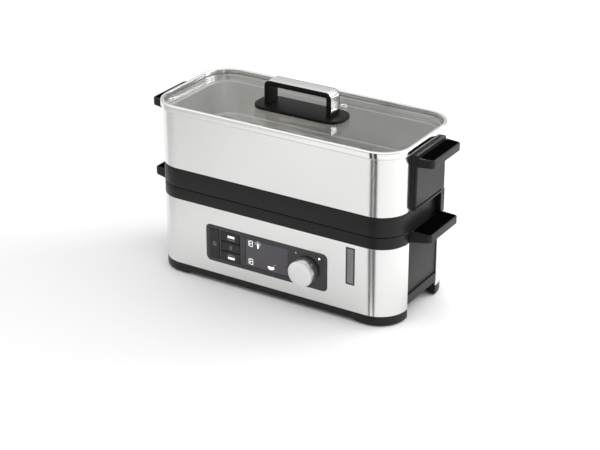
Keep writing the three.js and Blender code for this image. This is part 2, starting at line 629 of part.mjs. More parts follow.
// The ring that stands over the heater and feeds it through notches at its foot.
function steamRing() {
  const bottom = TANK_FLOOR + TANK_WALL + GAP;
  const outer = HEATER_RADIUS + STEAM_RING_WALL;
  const notches = Array.from({ length: STEAM_NOTCH_COUNT }, (_, i) => {
    const angle = ((i + 0.5) * 360) / STEAM_NOTCH_COUNT;
    return block(0, outer + 1, -STEAM_NOTCH_WIDTH / 2, STEAM_NOTCH_WIDTH / 2, bottom - 1, bottom + STEAM_NOTCH_HEIGHT)
      .rotate([0, 0, angle])
      .translate([0, TANK_Y, 0]);
  });
  return cut(
    bar(outer, bottom, bottom + STEAM_RING_HEIGHT, 0, TANK_Y),
    bar(HEATER_RADIUS, bottom - 1, FAR, 0, TANK_Y),
    ...notches,
  );
}

// Clear chamber behind the window: a lens in front, a float channel inside, a port to the tank behind.
function sightGlass() {
  const half = SIGHT_HALF_WIDTH;
  const lens = block(WINDOW_X - WINDOW_WIDTH / 2 + GAP, WINDOW_X + WINDOW_WIDTH / 2 - GAP, FRONT, SIGHT_FRONT + 1,
    WINDOW_Z - WINDOW_HEIGHT / 2 + GAP, WINDOW_Z + WINDOW_HEIGHT / 2 - GAP);
  const chamber = block(WINDOW_X - half, WINDOW_X + half, SIGHT_FRONT, SIGHT_BACK, SIGHT_BOTTOM, SIGHT_TOP);
  const channel = block(WINDOW_X - half + SIGHT_WALL, WINDOW_X + half - SIGHT_WALL, SIGHT_FRONT + SIGHT_WALL,
    SIGHT_BACK - SIGHT_WALL, CHANNEL_FLOOR, SIGHT_TOP + 1);
  const portHalf = half - SIGHT_WALL - 1;
  const port = block(WINDOW_X - portHalf, WINDOW_X + portHalf, SIGHT_BACK - SIGHT_WALL - 1, SIGHT_BACK + 1,
    CHANNEL_FLOOR, CHANNEL_FLOOR + DUCT_HEIGHT / 2);
  return cut(join(lens, chamber), channel, port);
}

function levelFloat() {
  const clearance = 2 * GAP;
  const width = WINDOW_WIDTH - 2 * clearance;
  const depth = SIGHT_DEPTH - 2 * SIGHT_WALL - 2 * clearance;
  const y = (SIGHT_FRONT + SIGHT_BACK) / 2;
  const bottom = CHANNEL_FLOOR + GAP;
  return slab(width, depth, 1.5, bottom, bottom + FLOAT_HEIGHT, WINDOW_X, y, SMALL_STEPS);
}

// ---------------------------------------------------------------- base unit: power and control


function powerBoard() {
  const plate = block(BOARD_LEFT, BOARD_RIGHT, -BOARD_HALF_DEPTH, BOARD_HALF_DEPTH, POWER_BOARD_BOTTOM,
    POWER_BOARD_TOP);
  const capacitor = bar(6, POWER_BOARD_TOP - 1, POWER_BOARD_TOP + 12, BOARD_LEFT + 32, -15, 12);
  const terminals = block(BOARD_LEFT + 35, BOARD_LEFT + 43, -6, 16, POWER_BOARD_TOP - 1, POWER_BOARD_TOP + 8);
  return join(plate, capacitor, terminals);
}

// A component that stands on the power board, placed from the board's left end.
const onPowerBoard = ([length, depth, height], x, y) =>
  block(BOARD_LEFT + x - length / 2, BOARD_LEFT + x + length / 2, y - depth / 2, y + depth / 2,
    POWER_BOARD_TOP + GAP, POWER_BOARD_TOP + GAP + height);

const zoneKeyZ = (row) => PANEL_Z + (1 - row) * ZONE_KEY_HEIGHT; // rows 0, 1, 2 from the top
const SWITCH_FRONT = FASCIA_BACK + KEY_STEM + KEY_TRAVEL + GAP;

// Board behind the panel, with a small switch behind each key and a lamp behind each indicator.
function controlBoard() {
  const plate = block(PANEL_LEFT + 1, PANEL_RIGHT - 1, BOARD_FRONT, BOARD_FRONT + BOARD_THICKNESS,
    PANEL_Z - PANEL_HEIGHT / 2 + 1, PANEL_Z + PANEL_HEIGHT / 2 - 1);
  const switchAt = (x, z) => block(x - 3, x + 3, SWITCH_FRONT, BOARD_FRONT + 1, z - 3, z + 3);
  const lampAt = (x) => crossBar(INDICATOR_RADIUS, FASCIA_BACK + 1, BOARD_FRONT + 1, x, INDICATOR_Z, 10);
  return join(
    plate,
    switchAt(POWER_KEY_X, PANEL_Z),
    ...[0, 1, 2].map((row) => switchAt(ZONE_KEY_X, zoneKeyZ(row))),
    lampAt(KNOB_X - INDICATOR_SPREAD),
    lampAt(KNOB_X + INDICATOR_SPREAD),
  );
}

function displayModule() {
  return block(DISPLAY_X - DISPLAY_LENGTH / 2 + 1, DISPLAY_X + DISPLAY_LENGTH / 2 - 1, FASCIA_BACK + GAP,
    BOARD_FRONT - GAP, PANEL_Z - DISPLAY_HEIGHT / 2 + 1, PANEL_Z + DISPLAY_HEIGHT / 2 - 1);
}

const LENS_BACK = FASCIA_FRONT + 0.2 + DISPLAY_LENS_THICKNESS;

function displayLens() {
  return uprightSlab(DISPLAY_LENGTH, DISPLAY_HEIGHT, 1, LENS_BACK - DISPLAY_LENS_THICKNESS, LENS_BACK,
    DISPLAY_X, PANEL_Z);
}

// Front plate of the controls: pockets for the keys and the lens, holes for the knob shaft and indicators.
function panelFascia() {
  const plate = uprightSlab(PANEL_LENGTH, PANEL_HEIGHT, PANEL_CORNER, FASCIA_FRONT, FASCIA_BACK,
    PANEL_CENTRE_X, PANEL_Z);
  const keyHole = (x, width) =>
    block(x - width / 2 - KEY_CLEARANCE, x + width / 2 + KEY_CLEARANCE, FASCIA_FRONT - 1, FASCIA_BACK + 1,
      PANEL_Z - KEY_BLOCK_HEIGHT / 2 - KEY_CLEARANCE, PANEL_Z + KEY_BLOCK_HEIGHT / 2 + KEY_CLEARANCE);
  const lensSeat = uprightSlab(DISPLAY_LENGTH + 2 * GAP, DISPLAY_HEIGHT + 2 * GAP, 1 + GAP, FASCIA_FRONT - 1,
    LENS_BACK + GAP, DISPLAY_X, PANEL_Z);
  const lightWell = block(DISPLAY_X - DISPLAY_LENGTH / 2 + 2, DISPLAY_X + DISPLAY_LENGTH / 2 - 2, FASCIA_FRONT - 1,
    FASCIA_BACK + 1, PANEL_Z - DISPLAY_HEIGHT / 2 + 2, PANEL_Z + DISPLAY_HEIGHT / 2 - 2);
  const indicatorHole = (x) =>
    crossBar(INDICATOR_RADIUS + GAP, FASCIA_FRONT - 1, FASCIA_BACK + 1, x, INDICATOR_Z, 12);
  const pegs = [PANEL_LEFT + FASCIA_PEG_INSET, PANEL_RIGHT - FASCIA_PEG_INSET].flatMap((x) =>
    [-1, 1].map((up) =>
      crossBar(FASCIA_PEG_RADIUS, FASCIA_BACK - 1, BOARD_FRONT - GAP, x,
        PANEL_Z + up * (PANEL_HEIGHT / 2 - PANEL_CORNER), 10),
    ),
  );
  return cut(
    join(plate, ...pegs),
    keyHole(POWER_KEY_X, POWER_KEY_WIDTH),
    keyHole(ZONE_KEY_X, ZONE_KEY_WIDTH),
    lensSeat,
    lightWell,
    crossBar(SHAFT_RADIUS + 1, FASCIA_FRONT - 1, FASCIA_BACK + 1, KNOB_X, PANEL_Z, 20),
    indicatorHole(KNOB_X - INDICATOR_SPREAD),
    indicatorHole(KNOB_X + INDICATOR_SPREAD),
  );
}

function key(x, z, width, height) {
  return uprightSlab(width, height, 0.8, FASCIA_FRONT - KEY_PROUD, FASCIA_BACK + KEY_STEM, x, z, 2);
}

const indicator = (x) => crossBar(INDICATOR_RADIUS, FASCIA_FRONT - 0.2, FASCIA_BACK, x, INDICATOR_Z, 12);

// The encoder: its body on the board, a plunger that gives when the knob is pressed, and the turning shaft.
const ENCODER_FRONT = FASCIA_BACK + 3.4;
const PLUNGER_FRONT = FASCIA_BACK + 0.6;
const PLUNGER_BACK = ENCODER_FRONT + 2.4;

function encoderBody() {
  const half = ENCODER_SIZE / 2;
  return block(KNOB_X - half, KNOB_X + half, ENCODER_FRONT, BOARD_FRONT - GAP, PANEL_Z - half, PANEL_Z + half)
    .subtract(crossBar(PLUNGER_RADIUS + GAP, ENCODER_FRONT - 1, PLUNGER_BACK + KNOB_TRAVEL + GAP, KNOB_X, PANEL_Z, 20));
}

const encoderPlunger = () => crossBar(PLUNGER_RADIUS, PLUNGER_FRONT, PLUNGER_BACK, KNOB_X, PANEL_Z, 20);
const encoderShaft = () =>
  crossBar(SHAFT_RADIUS, KNOB_FRONT + KNOB_SHELL + 3, PLUNGER_FRONT - GAP, KNOB_X, PANEL_Z, 20);

function knobShell() {
  return crossBar(KNOB_RADIUS, KNOB_FRONT, KNOB_BACK, KNOB_X, PANEL_Z, 32)
    .subtract(crossBar(KNOB_RADIUS - KNOB_SHELL, KNOB_FRONT + KNOB_SHELL, KNOB_BACK + 1, KNOB_X, PANEL_Z, 32));
}

function knobCore() {
  const front = KNOB_FRONT + KNOB_SHELL + GAP;
  return crossBar(KNOB_RADIUS - KNOB_SHELL - GAP, front, KNOB_BACK - 1, KNOB_X, PANEL_Z)
    .subtract(crossBar(SHAFT_RADIUS + GAP, KNOB_FRONT + KNOB_SHELL + 3 - GAP, FAR, KNOB_X, PANEL_Z, 20));
}

// ---------------------------------------------------------------- drip tray, bowl and inserts

function dripTray() {
  const floorTop = TRAY_BOTTOM + WALL;
  const lipInset = RIM_WALL + 2 * GAP;
  const chimney = (grow, bottom, top) =>
    slab(CHIMNEY_LENGTH + 2 * grow, CHIMNEY_DEPTH + 2 * grow, CHIMNEY_CORNER + grow, bottom, top, 0, TANK_Y,
      SMALL_STEPS);
  return cut(
    join(
      outlineRing(0, BAND_WALL, TRAY_BOTTOM, BAND_TOP),
      outlineSlab(BAND_WALL - 1, TRAY_BOTTOM, floorTop),
      outlineRing(lipInset, lipInset + WALL, RIM_TOP - LIP_HEIGHT, TRAY_BOTTOM + 1),
      chimney(0, TRAY_BOTTOM, TRAY_BOTTOM + CHIMNEY_HEIGHT),
    ),
    chimney(-2, TRAY_BOTTOM - 1, FAR),
  );
}

function bowl() {
  const sheetTop = BOWL_BOTTOM + SHEET;
  const collarInset = BAND_WALL + 2 * GAP;
  return join(
    outlineRing(0, SHEET, BOWL_BOTTOM, BOWL_TOP),
    outlineRing(SHEET / 2, BOWL_SILL, BOWL_BOTTOM, sheetTop),
    outlineRing(collarInset, collarInset + SHEET, BOWL_BOTTOM - BOWL_COLLAR, sheetTop),
    outlineRing(-BEAD_REACH, SHEET / 2, BOWL_TOP - BEAD_HEIGHT, BOWL_TOP),
    outlineRing(SHEET / 2, SHELF_WIDTH, SHELF_TOP - SHEET, SHELF_TOP),
  );
}

// Slots for an insert's floor, on a grid inside the given inset from the body's outline.
function floorSlots(inset, bottom, top) {
  const spanX = BODY_LENGTH - 2 * inset - INSERT_SLOT_LENGTH - 2 * INSERT_SLOT_WIDTH;
  const spanY = BODY_DEPTH - 2 * inset - 5 * INSERT_SLOT_WIDTH;
  const places = [];
  for (let i = 0; i < INSERT_SLOTS_X; i++) {
    for (let j = 0; j < INSERT_SLOTS_Y; j++) {
      places.push([(i / (INSERT_SLOTS_X - 1) - 0.5) * spanX, (j / (INSERT_SLOTS_Y - 1) - 0.5) * spanY]);
    }
  }
  return places.map(([x, y]) =>
    block(x - INSERT_SLOT_LENGTH / 2, x + INSERT_SLOT_LENGTH / 2, y - INSERT_SLOT_WIDTH / 2,
      y + INSERT_SLOT_WIDTH / 2, bottom, top),
  );
}

// Hangs in the mouth of the bowl by its flange.
function upperInsert() {
  const flangeBottom = SHELF_TOP + GAP;
  const wallInset = SHELF_WIDTH + 2 * GAP;
  const floor = UPPER_INSERT_BOTTOM;
  return cut(
    join(
      outlineRing(SHEET + 2 * GAP, wallInset + SHEET, flangeBottom, flangeBottom + SHEET),
      outlineRing(wallInset, wallInset + SHEET, floor, flangeBottom + SHEET),
      outlineSlab(wallInset + SHEET / 2, floor, floor + SHEET),
    ),
    ...floorSlots(wallInset + 6, floor - 1, floor + SHEET + 1),
  );
}

// Stands on the sill at the bottom of the bowl, and is small enough to lift out past the shelf.
function lowerInsert() {
  const bottom = LOWER_INSERT_BOTTOM;
  const inset = SHELF_WIDTH + 2 * GAP;
  return cut(
    join(
      outlineRing(inset, inset + SHEET, bottom, bottom + LOWER_INSERT_HEIGHT),
      outlineSlab(inset + SHEET / 2, bottom, bottom + SHEET),
    ),
    ...floorSlots(BOWL_SILL + 4, bottom - 1, bottom + SHEET + 1),
  );
}

const HANDLE_TOP = BOWL_TOP - BOWL_HANDLE_DROP;
const TONGUE_TOP = HANDLE_TOP - HANDLE_SKIN;

// Upright block on the bowl's end, with a slot for the handle's tongue, a groove across its foot and a leg
// at the rear that steadies the bowl against the end of the drip tray.
function handleBracket() {
  const width = SIDE_BAY_WIDTH + 2 * BRACKET_OVERLAP;
  const bottom = BOWL_BOTTOM + BRACKET_FOOT;
  const top = BOWL_TOP - BRACKET_TOP_DROP;
  const x0 = END + GAP;
  const x1 = END + BRACKET_REACH;
  const groove = bottom + BRACKET_GROOVE_LIFT;
  const leg = block(x0, x1, width / 2 - LEG_WIDTH, width / 2, RIM_TOP + LEG_CLEARANCE, bottom + BRACKET_CORNER);
  return cut(
    join(
      slab(2 * (x1 - x0), width, BRACKET_CORNER, bottom, top, x0, 0, 3).intersect(block(x0, FAR, -FAR, FAR, 0, FAR)),
      leg,
    ),
    block(x0 + 2.5, FAR, -TONGUE_WIDTH / 2 - GAP, TONGUE_WIDTH / 2 + GAP, TONGUE_TOP - TONGUE_HEIGHT - GAP,
      TONGUE_TOP + GAP),
    block(x1 - BRACKET_GROOVE, FAR, -FAR, width / 2 - LEG_WIDTH, groove - BRACKET_GROOVE, groove),
  );
}

function bowlHandle() {
  const root = END + BRACKET_REACH + GAP;
  return join(
    endHandle(root, HANDLE_TOP, HANDLE_TIP_THICKNESS + 1),
    block(END + GAP + 2.5 + GAP, root + 1, -TONGUE_WIDTH / 2, TONGUE_WIDTH / 2, TONGUE_TOP - TONGUE_HEIGHT, TONGUE_TOP),
  );
}

// ---------------------------------------------------------------- lid

const lidScrewXs = [-1, 1].map((side) => (side * (BRIDGE_LENGTH - BRIDGE_STRAP)) / 2);
const BRIDGE_BOTTOM = PLATE_TOP + GAP;

function lidFrame() {
  const glassSeat = GLASS_INSET - GAP;
  return cut(
    outlineRing(-LID_OVERHANG, LID_FRAME_INSET, LID_BOTTOM, LID_TOP),
    outlineSlab(glassSeat, LID_BOTTOM - 1, GLASS_TOP + GAP),
  );
}

function lidGlass() {
  return cut(
    outlineSlab(GLASS_INSET, GLASS_TOP - GLASS_THICKNESS, GLASS_TOP),
    ...lidScrewXs.map((x) => bar(LID_SCREW_RADIUS + GAP, 0, FAR, x, 0, 16)),
    bar(VENT_RADIUS + SHEET + GAP, 0, FAR, VENT_X, VENT_Y, 20),
  );
}

const lidSeal = () =>
  outlineRing(SEAL_INSET, SEAL_INSET + SEAL_WIDTH, GLASS_TOP - GLASS_THICKNESS - GAP - SEAL_HEIGHT,
    GLASS_TOP - GLASS_THICKNESS - GAP);

function ventEyelet() {
  return cut(
    join(
      bar(VENT_FLANGE, GLASS_TOP + GAP, GLASS_TOP + GAP + SHEET, VENT_X, VENT_Y, 24),
      bar(VENT_RADIUS + SHEET, GLASS_TOP - GLASS_THICKNESS - SHEET, GLASS_TOP + 1, VENT_X, VENT_Y, 20),
    ),
    bar(VENT_RADIUS, 0, FAR, VENT_X, VENT_Y, 16),
  );
}

function handlePlate() {
  return cut(
    slab(PLATE_LENGTH, PLATE_DEPTH, PLATE_CORNER, GLASS_TOP + GAP, PLATE_TOP, 0, 0, CORNER_STEPS),
    ...lidScrewXs.map((x) => bar(LID_SCREW_RADIUS + GAP, 0, FAR, x, 0, 16)),
  );
}

// The upright outline of the bridge: an arch with square feet, moved inwards by inset.
function archShape(inset, foot) {
  const half = BRIDGE_LENGTH / 2 - inset;
  const top = BRIDGE_TOP - inset;
  const radius = Math.max(BRIDGE_OUTER_CORNER - inset, 1.5);
  const shape = new THREE.Shape();
  shape.moveTo(-half, foot);
  shape.lineTo(half, foot);
  shape.absarc(half - radius, top - radius, radius, 0, Math.PI / 2);
  shape.absarc(-half + radius, top - radius, radius, Math.PI / 2, Math.PI);
  shape.closePath();
  return shape;
}

function arch(inset, foot, depth) {
  const geometry = extruded(archShape(inset, foot), -depth / 2, depth / 2, CORNER_STEPS);
  return solid(geometry.rotateX(Math.PI / 2));
}

const TRIM_BOTTOM = BRIDGE_BOTTOM + TRIM_FOOT;

function handleBridge() {
  const trimBed = arch(0, TRIM_BOTTOM, TRIM_WIDTH + 2 * GAP).subtract(
    arch(TRIM_THICKNESS + GAP, TRIM_BOTTOM - 1, TRIM_WIDTH + 2 * GAP + 1),
  );
  return cut(
    arch(0, BRIDGE_BOTTOM, BRIDGE_DEPTH),
    arch(BRIDGE_STRAP, BRIDGE_BOTTOM - 1, BRIDGE_DEPTH + 1),
    trimBed,
    ...lidScrewXs.map((x) => bar(LID_SCREW_RADIUS + GAP, 0, BRIDGE_BOTTOM + 4.5, x, 0, 16)),
  );
}

const handleTrim = () =>
  arch(0, TRIM_BOTTOM + GAP, TRIM_WIDTH).subtract(arch(TRIM_THICKNESS, TRIM_BOTTOM - 1, TRIM_WIDTH + 1));

function lidScrew(x) {
  const under = GLASS_TOP - GLASS_THICKNESS - GAP;
  return join(
    bar(LID_SCREW_HEAD, under - 2.4, under, x, 0, 20),
    bar(LID_SCREW_RADIUS, under - 1, BRIDGE_BOTTOM + 4, x, 0, 16),
  );
}

// ---------------------------------------------------------------- assembly

const eggCooker = new THREE.Group();
const add = (name, made, material) => eggCooker.add(piece(name, made, material));

add("base_pan", basePan(), blackPlastic);
add("bottom_cover", bottomCover(), blackPlastic);
footPlaces.forEach(([x, y], i) => add(`foot_${i + 1}`, bar(FOOT_RADIUS, 0, FOOT_THICKNESS, x, y, 16), rubber));
screwPlaces.forEach(([x, y], i) => add(`cover_screw_${i + 1}`, coverScrew(x, y), zincSteel));
add("chassis", chassis(), blackPlastic);
add("front_sleeve", sleeve(-1), brushedSteel);
add("rear_sleeve", sleeve(1), brushedSteel);
add("side_panel_right", sidePanel(), darkPlastic);
add("side_panel_left", mirrored(sidePanel()), darkPlastic);
add("base_rim", baseRim(), blackPlastic);
add("cord_gland", cordGland(), rubber);

add("water_tank", waterTank(), darkPlastic);
add("steam_ring", steamRing(), blackPlastic);
add("heater_plate", heaterPlate(), aluminium);
add("heater_gasket", heaterGasket(), rubber);
add("heating_element", heatingElement(), zincSteel);
add("thermostat", thermostat(), ivory);
add("sight_glass", sightGlass(), clearGlass);
add("level_float", levelFloat(), ivory);

add("power_board", powerBoard(), boardGreen);
add("relay", onPowerBoard(RELAY_SIZE, 13, -15), glossBlack);
add("transformer", onPowerBoard(TRANSFORMER_SIZE, 18, 10), zincSteel);
add("control_board", controlBoard(), boardGreen);
add("display_module", displayModule(), darkPlastic);
add("display_lens", displayLens(), smokedLens);
add("panel_fascia", panelFascia(), glossBlack);
add("indicator_left", indicator(KNOB_X - INDICATOR_SPREAD), ivory);
add("indicator_right", indicator(KNOB_X + INDICATOR_SPREAD), ivory);
add("power_key", key(POWER_KEY_X, PANEL_Z, POWER_KEY_WIDTH, KEY_BLOCK_HEIGHT), glossBlack);
["upper_zone_key", "egg_key", "lower_zone_key"].forEach((name, row) => {
  const height = ZONE_KEY_HEIGHT - 2 * KEY_CLEARANCE;
  add(name, key(ZONE_KEY_X, zoneKeyZ(row), ZONE_KEY_WIDTH, height), glossBlack);
});
add("encoder_body", encoderBody(), zincSteel);
add("encoder_plunger", encoderPlunger(), ivory);
add("encoder_shaft", encoderShaft(), zincSteel);
add("knob_core", knobCore(), blackPlastic);
add("knob_shell", knobShell(), brightSteel);

add("drip_tray", dripTray(), blackPlastic);
add("bowl", bowl(), brushedSteel);
add("bracket_right", handleBracket(), blackPlastic);
add("bracket_left", mirrored(handleBracket()), blackPlastic);
add("bowl_handle_right", bowlHandle(), blackPlastic);
add("bowl_handle_left", mirrored(bowlHandle()), blackPlastic);
add("lower_insert", lowerInsert(), brushedSteel);
add("upper_insert", upperInsert(), brushedSteel);

add("lid_glass", lidGlass(), clearGlass);
add("lid_frame", lidFrame(), brightSteel);
add("lid_seal", lidSeal(), rubber);
add("vent_eyelet", ventEyelet(), brightSteel);
add("handle_plate", handlePlate(), blackPlastic);
add("handle_bridge", handleBridge(), blackPlastic);
add("handle_trim", handleTrim(), brightSteel);
lidScrewXs.forEach((x, i) => add(`lid_screw_${i + 1}`, lidScrew(x), zincSteel));

eggCooker.position.y = CENTRE_SHIFT;

export default eggCooker;
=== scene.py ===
"""Outer skins, panel, lid, inserts and studio of a countertop egg cooker and steamer.

Lengths in the making of meshes are millimetres, in the frame's own axes: +Z up, +X to the right, the control
panel faces -Y. Meshes are scaled to metres as they become objects."""

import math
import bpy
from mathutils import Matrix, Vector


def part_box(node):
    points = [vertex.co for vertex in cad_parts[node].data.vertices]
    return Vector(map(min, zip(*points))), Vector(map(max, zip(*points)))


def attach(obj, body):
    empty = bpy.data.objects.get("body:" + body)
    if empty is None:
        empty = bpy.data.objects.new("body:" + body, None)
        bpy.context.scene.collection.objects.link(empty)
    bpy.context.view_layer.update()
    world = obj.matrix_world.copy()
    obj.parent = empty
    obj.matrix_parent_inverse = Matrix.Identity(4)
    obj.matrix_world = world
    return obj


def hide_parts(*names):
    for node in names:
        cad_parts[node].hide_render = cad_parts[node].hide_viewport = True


bl_info = {
    "name": "Egg cooker and steamer",
    "version": (1, 0, 0),
    "blender": (4, 5, 0),
    "location": "3D View > Sidebar > Steamer",
    "description": "Builds the skins, panel, lid, inserts and studio of a two-tier egg cooker and steamer",
    "category": "Object",
}

import bmesh
import bpy
from mathutils import Matrix, Vector

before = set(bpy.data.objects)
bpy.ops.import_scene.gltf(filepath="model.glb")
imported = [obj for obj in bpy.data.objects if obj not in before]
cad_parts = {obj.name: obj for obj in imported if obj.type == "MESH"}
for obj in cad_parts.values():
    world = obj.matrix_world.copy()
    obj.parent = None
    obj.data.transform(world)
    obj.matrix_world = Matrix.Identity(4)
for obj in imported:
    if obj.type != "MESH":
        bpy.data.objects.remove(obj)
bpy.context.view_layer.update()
MM = 0.001


def extent(node):
    """Lowest and highest corner of a frame node, in millimetres."""
    low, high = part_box(node)
    return low / MM, high / MM


# ------------------------------------------------------------------ sizes taken from the frame

STEEL_LOW, STEEL_HIGH = extent("front_sleeve")
REAR_LOW, REAR_HIGH = extent("rear_sleeve")
LENGTH = 2 * STEEL_HIGH.x
DEPTH = REAR_HIGH.y - STEEL_LOW.y
FRONT = STEEL_LOW.y
BACK = REAR_HIGH.y
MIDDLE = (FRONT + BACK) / 2
END = LENGTH / 2
CORNER = 34
SHEET = 1
BAY = 34  # half the width of the flat bay at each end, between the steel sleeves
FLOOR_LIGHT_POWER = 6.0  # watts
RIM_LOW, RIM_HIGH = extent("base_rim")
TRAY_LOW, TRAY_HIGH = extent("drip_tray")
BOWL_LOW, BOWL_HIGH = extent("bowl")
PAN_LOW, PAN_HIGH = extent("base_pan")
RIM_BOTTOM = RIM_LOW.z
RIM_TOP = RIM_HIGH.z
BAND_BOTTOM = RIM_TOP + 0.8
BAND_TOP = TRAY_HIGH.z
BOWL_BOTTOM = BAND_TOP + 0.8
BOWL_TOP = BOWL_HIGH.z
TIP = RIM_HIGH.x
SIDES = (("right", 1), ("left", -1))


# ------------------------------------------------------------------ points and outlines


def front_middle(low, high):
    """Middle of a box as seen from the front, across and up."""
    return (low.x + high.x) / 2, (low.z + high.z) / 2


def turn(x, y, radius, start, steps, sweep=90):
    """Points of an arc with their outward normals, as (x, y, nx, ny), angles in degrees."""
    points = []
    for i in range(steps + 1):
        angle = math.radians(start + sweep * i / steps)
        nx, ny = math.cos(angle), math.sin(angle)
        points.append((x + radius * nx, y + radius * ny, nx, ny))
    return points


def rectangle(length, depth, radius, steps=14, x=0.0, y=0.0):
    """A rounded rectangle with normals, anticlockwise from its right front corner."""
    radius = max(radius, 0.02)
    a, b = length / 2 - radius, depth / 2 - radius
    return (
        turn(x + a, y - b, radius, -90, steps)
        + turn(x + a, y + b, radius, 0, steps)
        + turn(x - a, y + b, radius, 90, steps)
        + turn(x - a, y - b, radius, 180, steps)
    )


def body_outline(steps=16):
    return rectangle(LENGTH, DEPTH, CORNER, steps, 0, MIDDLE)


def half_outline(side, edge, steps=16):
    """The body's outline round its front (side -1) or rear (side 1), from one end bay to the other."""
    a, b = LENGTH / 2 - CORNER, DEPTH / 2 - CORNER
    if side < 0:
        corners = turn(-a, MIDDLE - b, CORNER, 180, steps) + turn(a, MIDDLE - b, CORNER, -90, steps)
        return [(-END, MIDDLE - edge, -1, 0), *corners, (END, MIDDLE - edge, 1, 0)]
    corners = turn(a, MIDDLE + b, CORNER, 0, steps) + turn(-a, MIDDLE + b, CORNER, 90, steps)
    return [(END, MIDDLE + edge, 1, 0), *corners, (-END, MIDDLE + edge, -1, 0)]


def rounded(profile, steps=3):
    """A closed profile of (across, up, radius) corners, each eased by its radius."""
    points = []
    for i, (a, z, radius) in enumerate(profile):
        here = Vector((a, z))
        if radius <= 0:
            points.append((a, z))
            continue
        before = Vector(profile[i - 1][:2]) - here
        after = Vector(profile[(i + 1) % len(profile)][:2]) - here
        reach = min(radius, 0.49 * before.length, 0.49 * after.length)
        start = here + before.normalized() * reach
        finish = here + after.normalized() * reach
        for k in range(steps + 1):
            t = k / steps
            p = start * (1 - t) ** 2 + here * 2 * t * (1 - t) + finish * t**2
            points.append((p.x, p.y))
    return points


def eased(bottom, top, edge, steps=3, floor_edge=None):
    """(inset, level) pairs that climb a wall with eased lower and upper edges."""
    low = edge if floor_edge is None else floor_edge
    lower = [(low * (1 - math.sin(a)), bottom + low * (1 - math.cos(a))) for a in quarter(steps)]
    upper = [(edge * (1 - math.cos(a)), top - edge * (1 - math.sin(a))) for a in quarter(steps)]
    return lower + upper


def quarter(steps):
    return [math.pi / 2 * i / steps for i in range(steps + 1)]


# ------------------------------------------------------------------ meshes


def skin(name, rings, wrap=False, caps=True):
    """An object whose faces join rings of equal counts, in millimetres."""
    count = len(rings[0])
    form = bmesh.new()
    for ring in rings:
        for point in ring:
            form.verts.new(Vector(point) * MM)
    form.verts.ensure_lookup_table()
    verts = form.verts
    for r in range(len(rings) if wrap else len(rings) - 1):
        here, there = r * count, (r + 1) % len(rings) * count
        for i in range(count if count > 2 else 1):
            j = (i + 1) % count
            form.faces.new((verts[here + i], verts[here + j], verts[there + j], verts[there + i]))
    if caps and not wrap:
        form.faces.new([verts[i] for i in range(count)])
        form.faces.new([verts[i] for i in range(len(verts) - count, len(verts))])
    bmesh.ops.remove_doubles(form, verts=form.verts, dist=1e-6)
    bmesh.ops.dissolve_degenerate(form, edges=form.edges, dist=1e-6)
    bmesh.ops.recalc_face_normals(form, faces=form.faces)
    mesh = bpy.data.meshes.new(name)
    form.to_mesh(mesh)
    form.free()
    thing = bpy.data.objects.new(name, mesh)
    bpy.context.scene.collection.objects.link(thing)
    return thing


def flat(u, v, w):
    """Places a plan point: u along X, v along Y, w up."""
    return (u, v, w)


def upright(u, v, w):
    """Places a point of a front elevation: u along X, v up, w back from the front of the steel."""
    return (u, FRONT + w, v)


def sweep(name, path, profile, closed=True, place=flat):
    """A profile of (inset, level) points carried round a path with normals."""
    rings = [[place(x - nx * a, y - ny * a, z) for a, z in profile] for x, y, nx, ny in path]
    return skin(name, rings, wrap=closed, caps=not closed)


def slab(name, length, depth, radius, levels, x=0.0, y=0.0, steps=8, place=flat):
    """A block with rounded plan corners. Levels are (inset, level) pairs from one face to the other."""
    rings = []
    for inset, level in levels:
        ring = rectangle(length - 2 * inset, depth - 2 * inset, radius - inset, steps, x, y)
        rings.append([place(u, v, level) for u, v, _, _ in ring])
    return skin(name, rings)


def block(name, low, high):
    """A cutting tool: a plain box between two corners."""
    x, y = (low[0] + high[0]) / 2, (low[1] + high[1]) / 2
    return slab(name, high[0] - low[0], high[1] - low[1], 0.02, [(0, low[2]), (0, high[2])], x, y, 1)


def lathe(name, profile, x, y, z=0.0, steps=48, place=flat):
    """A turned piece. The profile is (radius, height) points about the axis through (x, y)."""
    rings = []
    for i in range(steps):
        angle = 2 * math.pi * i / steps
        c, s = math.cos(angle), math.sin(angle)
        rings.append([place(x + r * c, y + r * s, z + h) for r, h in profile])
    return skin(name, rings, wrap=True)


def outline_slab(name, inset, levels, steps=16):
    return slab(
        name, LENGTH - 2 * inset, DEPTH - 2 * inset, CORNER - inset, levels, 0, MIDDLE, steps
    )


def mirror(thing, name):
    """A left-hand copy of a right-hand piece."""
    twin = thing.copy()
    twin.data = thing.data.copy()
    twin.name = name
    twin.data.transform(Matrix.Scale(-1, 4, (1, 0, 0)))
    twin.data.flip_normals()
    bpy.context.scene.collection.objects.link(twin)
    return twin


def joined(things):
    """Several separate closed shapes as one object, to cut or add them at once."""
    form = bmesh.new()
    for thing in things:
        form.from_mesh(thing.data)
    first = things[0]
    form.to_mesh(first.data)
    form.free()
    for thing in things[1:]:
        bpy.data.objects.remove(thing)
    return first


def boolean(thing, tool, operation):
    modifier = thing.modifiers.new(operation.lower(), "BOOLEAN")
    modifier.operation, modifier.object, modifier.solver = operation, tool, "EXACT"
    bpy.context.view_layer.update()
    done = thing.evaluated_get(bpy.context.evaluated_depsgraph_get())
    mesh = bpy.data.meshes.new_from_object(done)
    thing.modifiers.clear()
    thing.data = mesh
    bpy.data.objects.remove(tool)
    form = bmesh.new()
    form.from_mesh(mesh)
    bmesh.ops.remove_doubles(form, verts=form.verts, dist=2e-6)
    bmesh.ops.dissolve_degenerate(form, edges=form.edges, dist=2e-6)
    form.to_mesh(mesh)
    form.free()
    if not mesh.polygons:
        raise RuntimeError(thing.name + ": nothing was left after " + operation)
    return thing


def cut(thing, *tools):
    for tool in tools:
        boolean(thing, tool, "DIFFERENCE")
    return thing


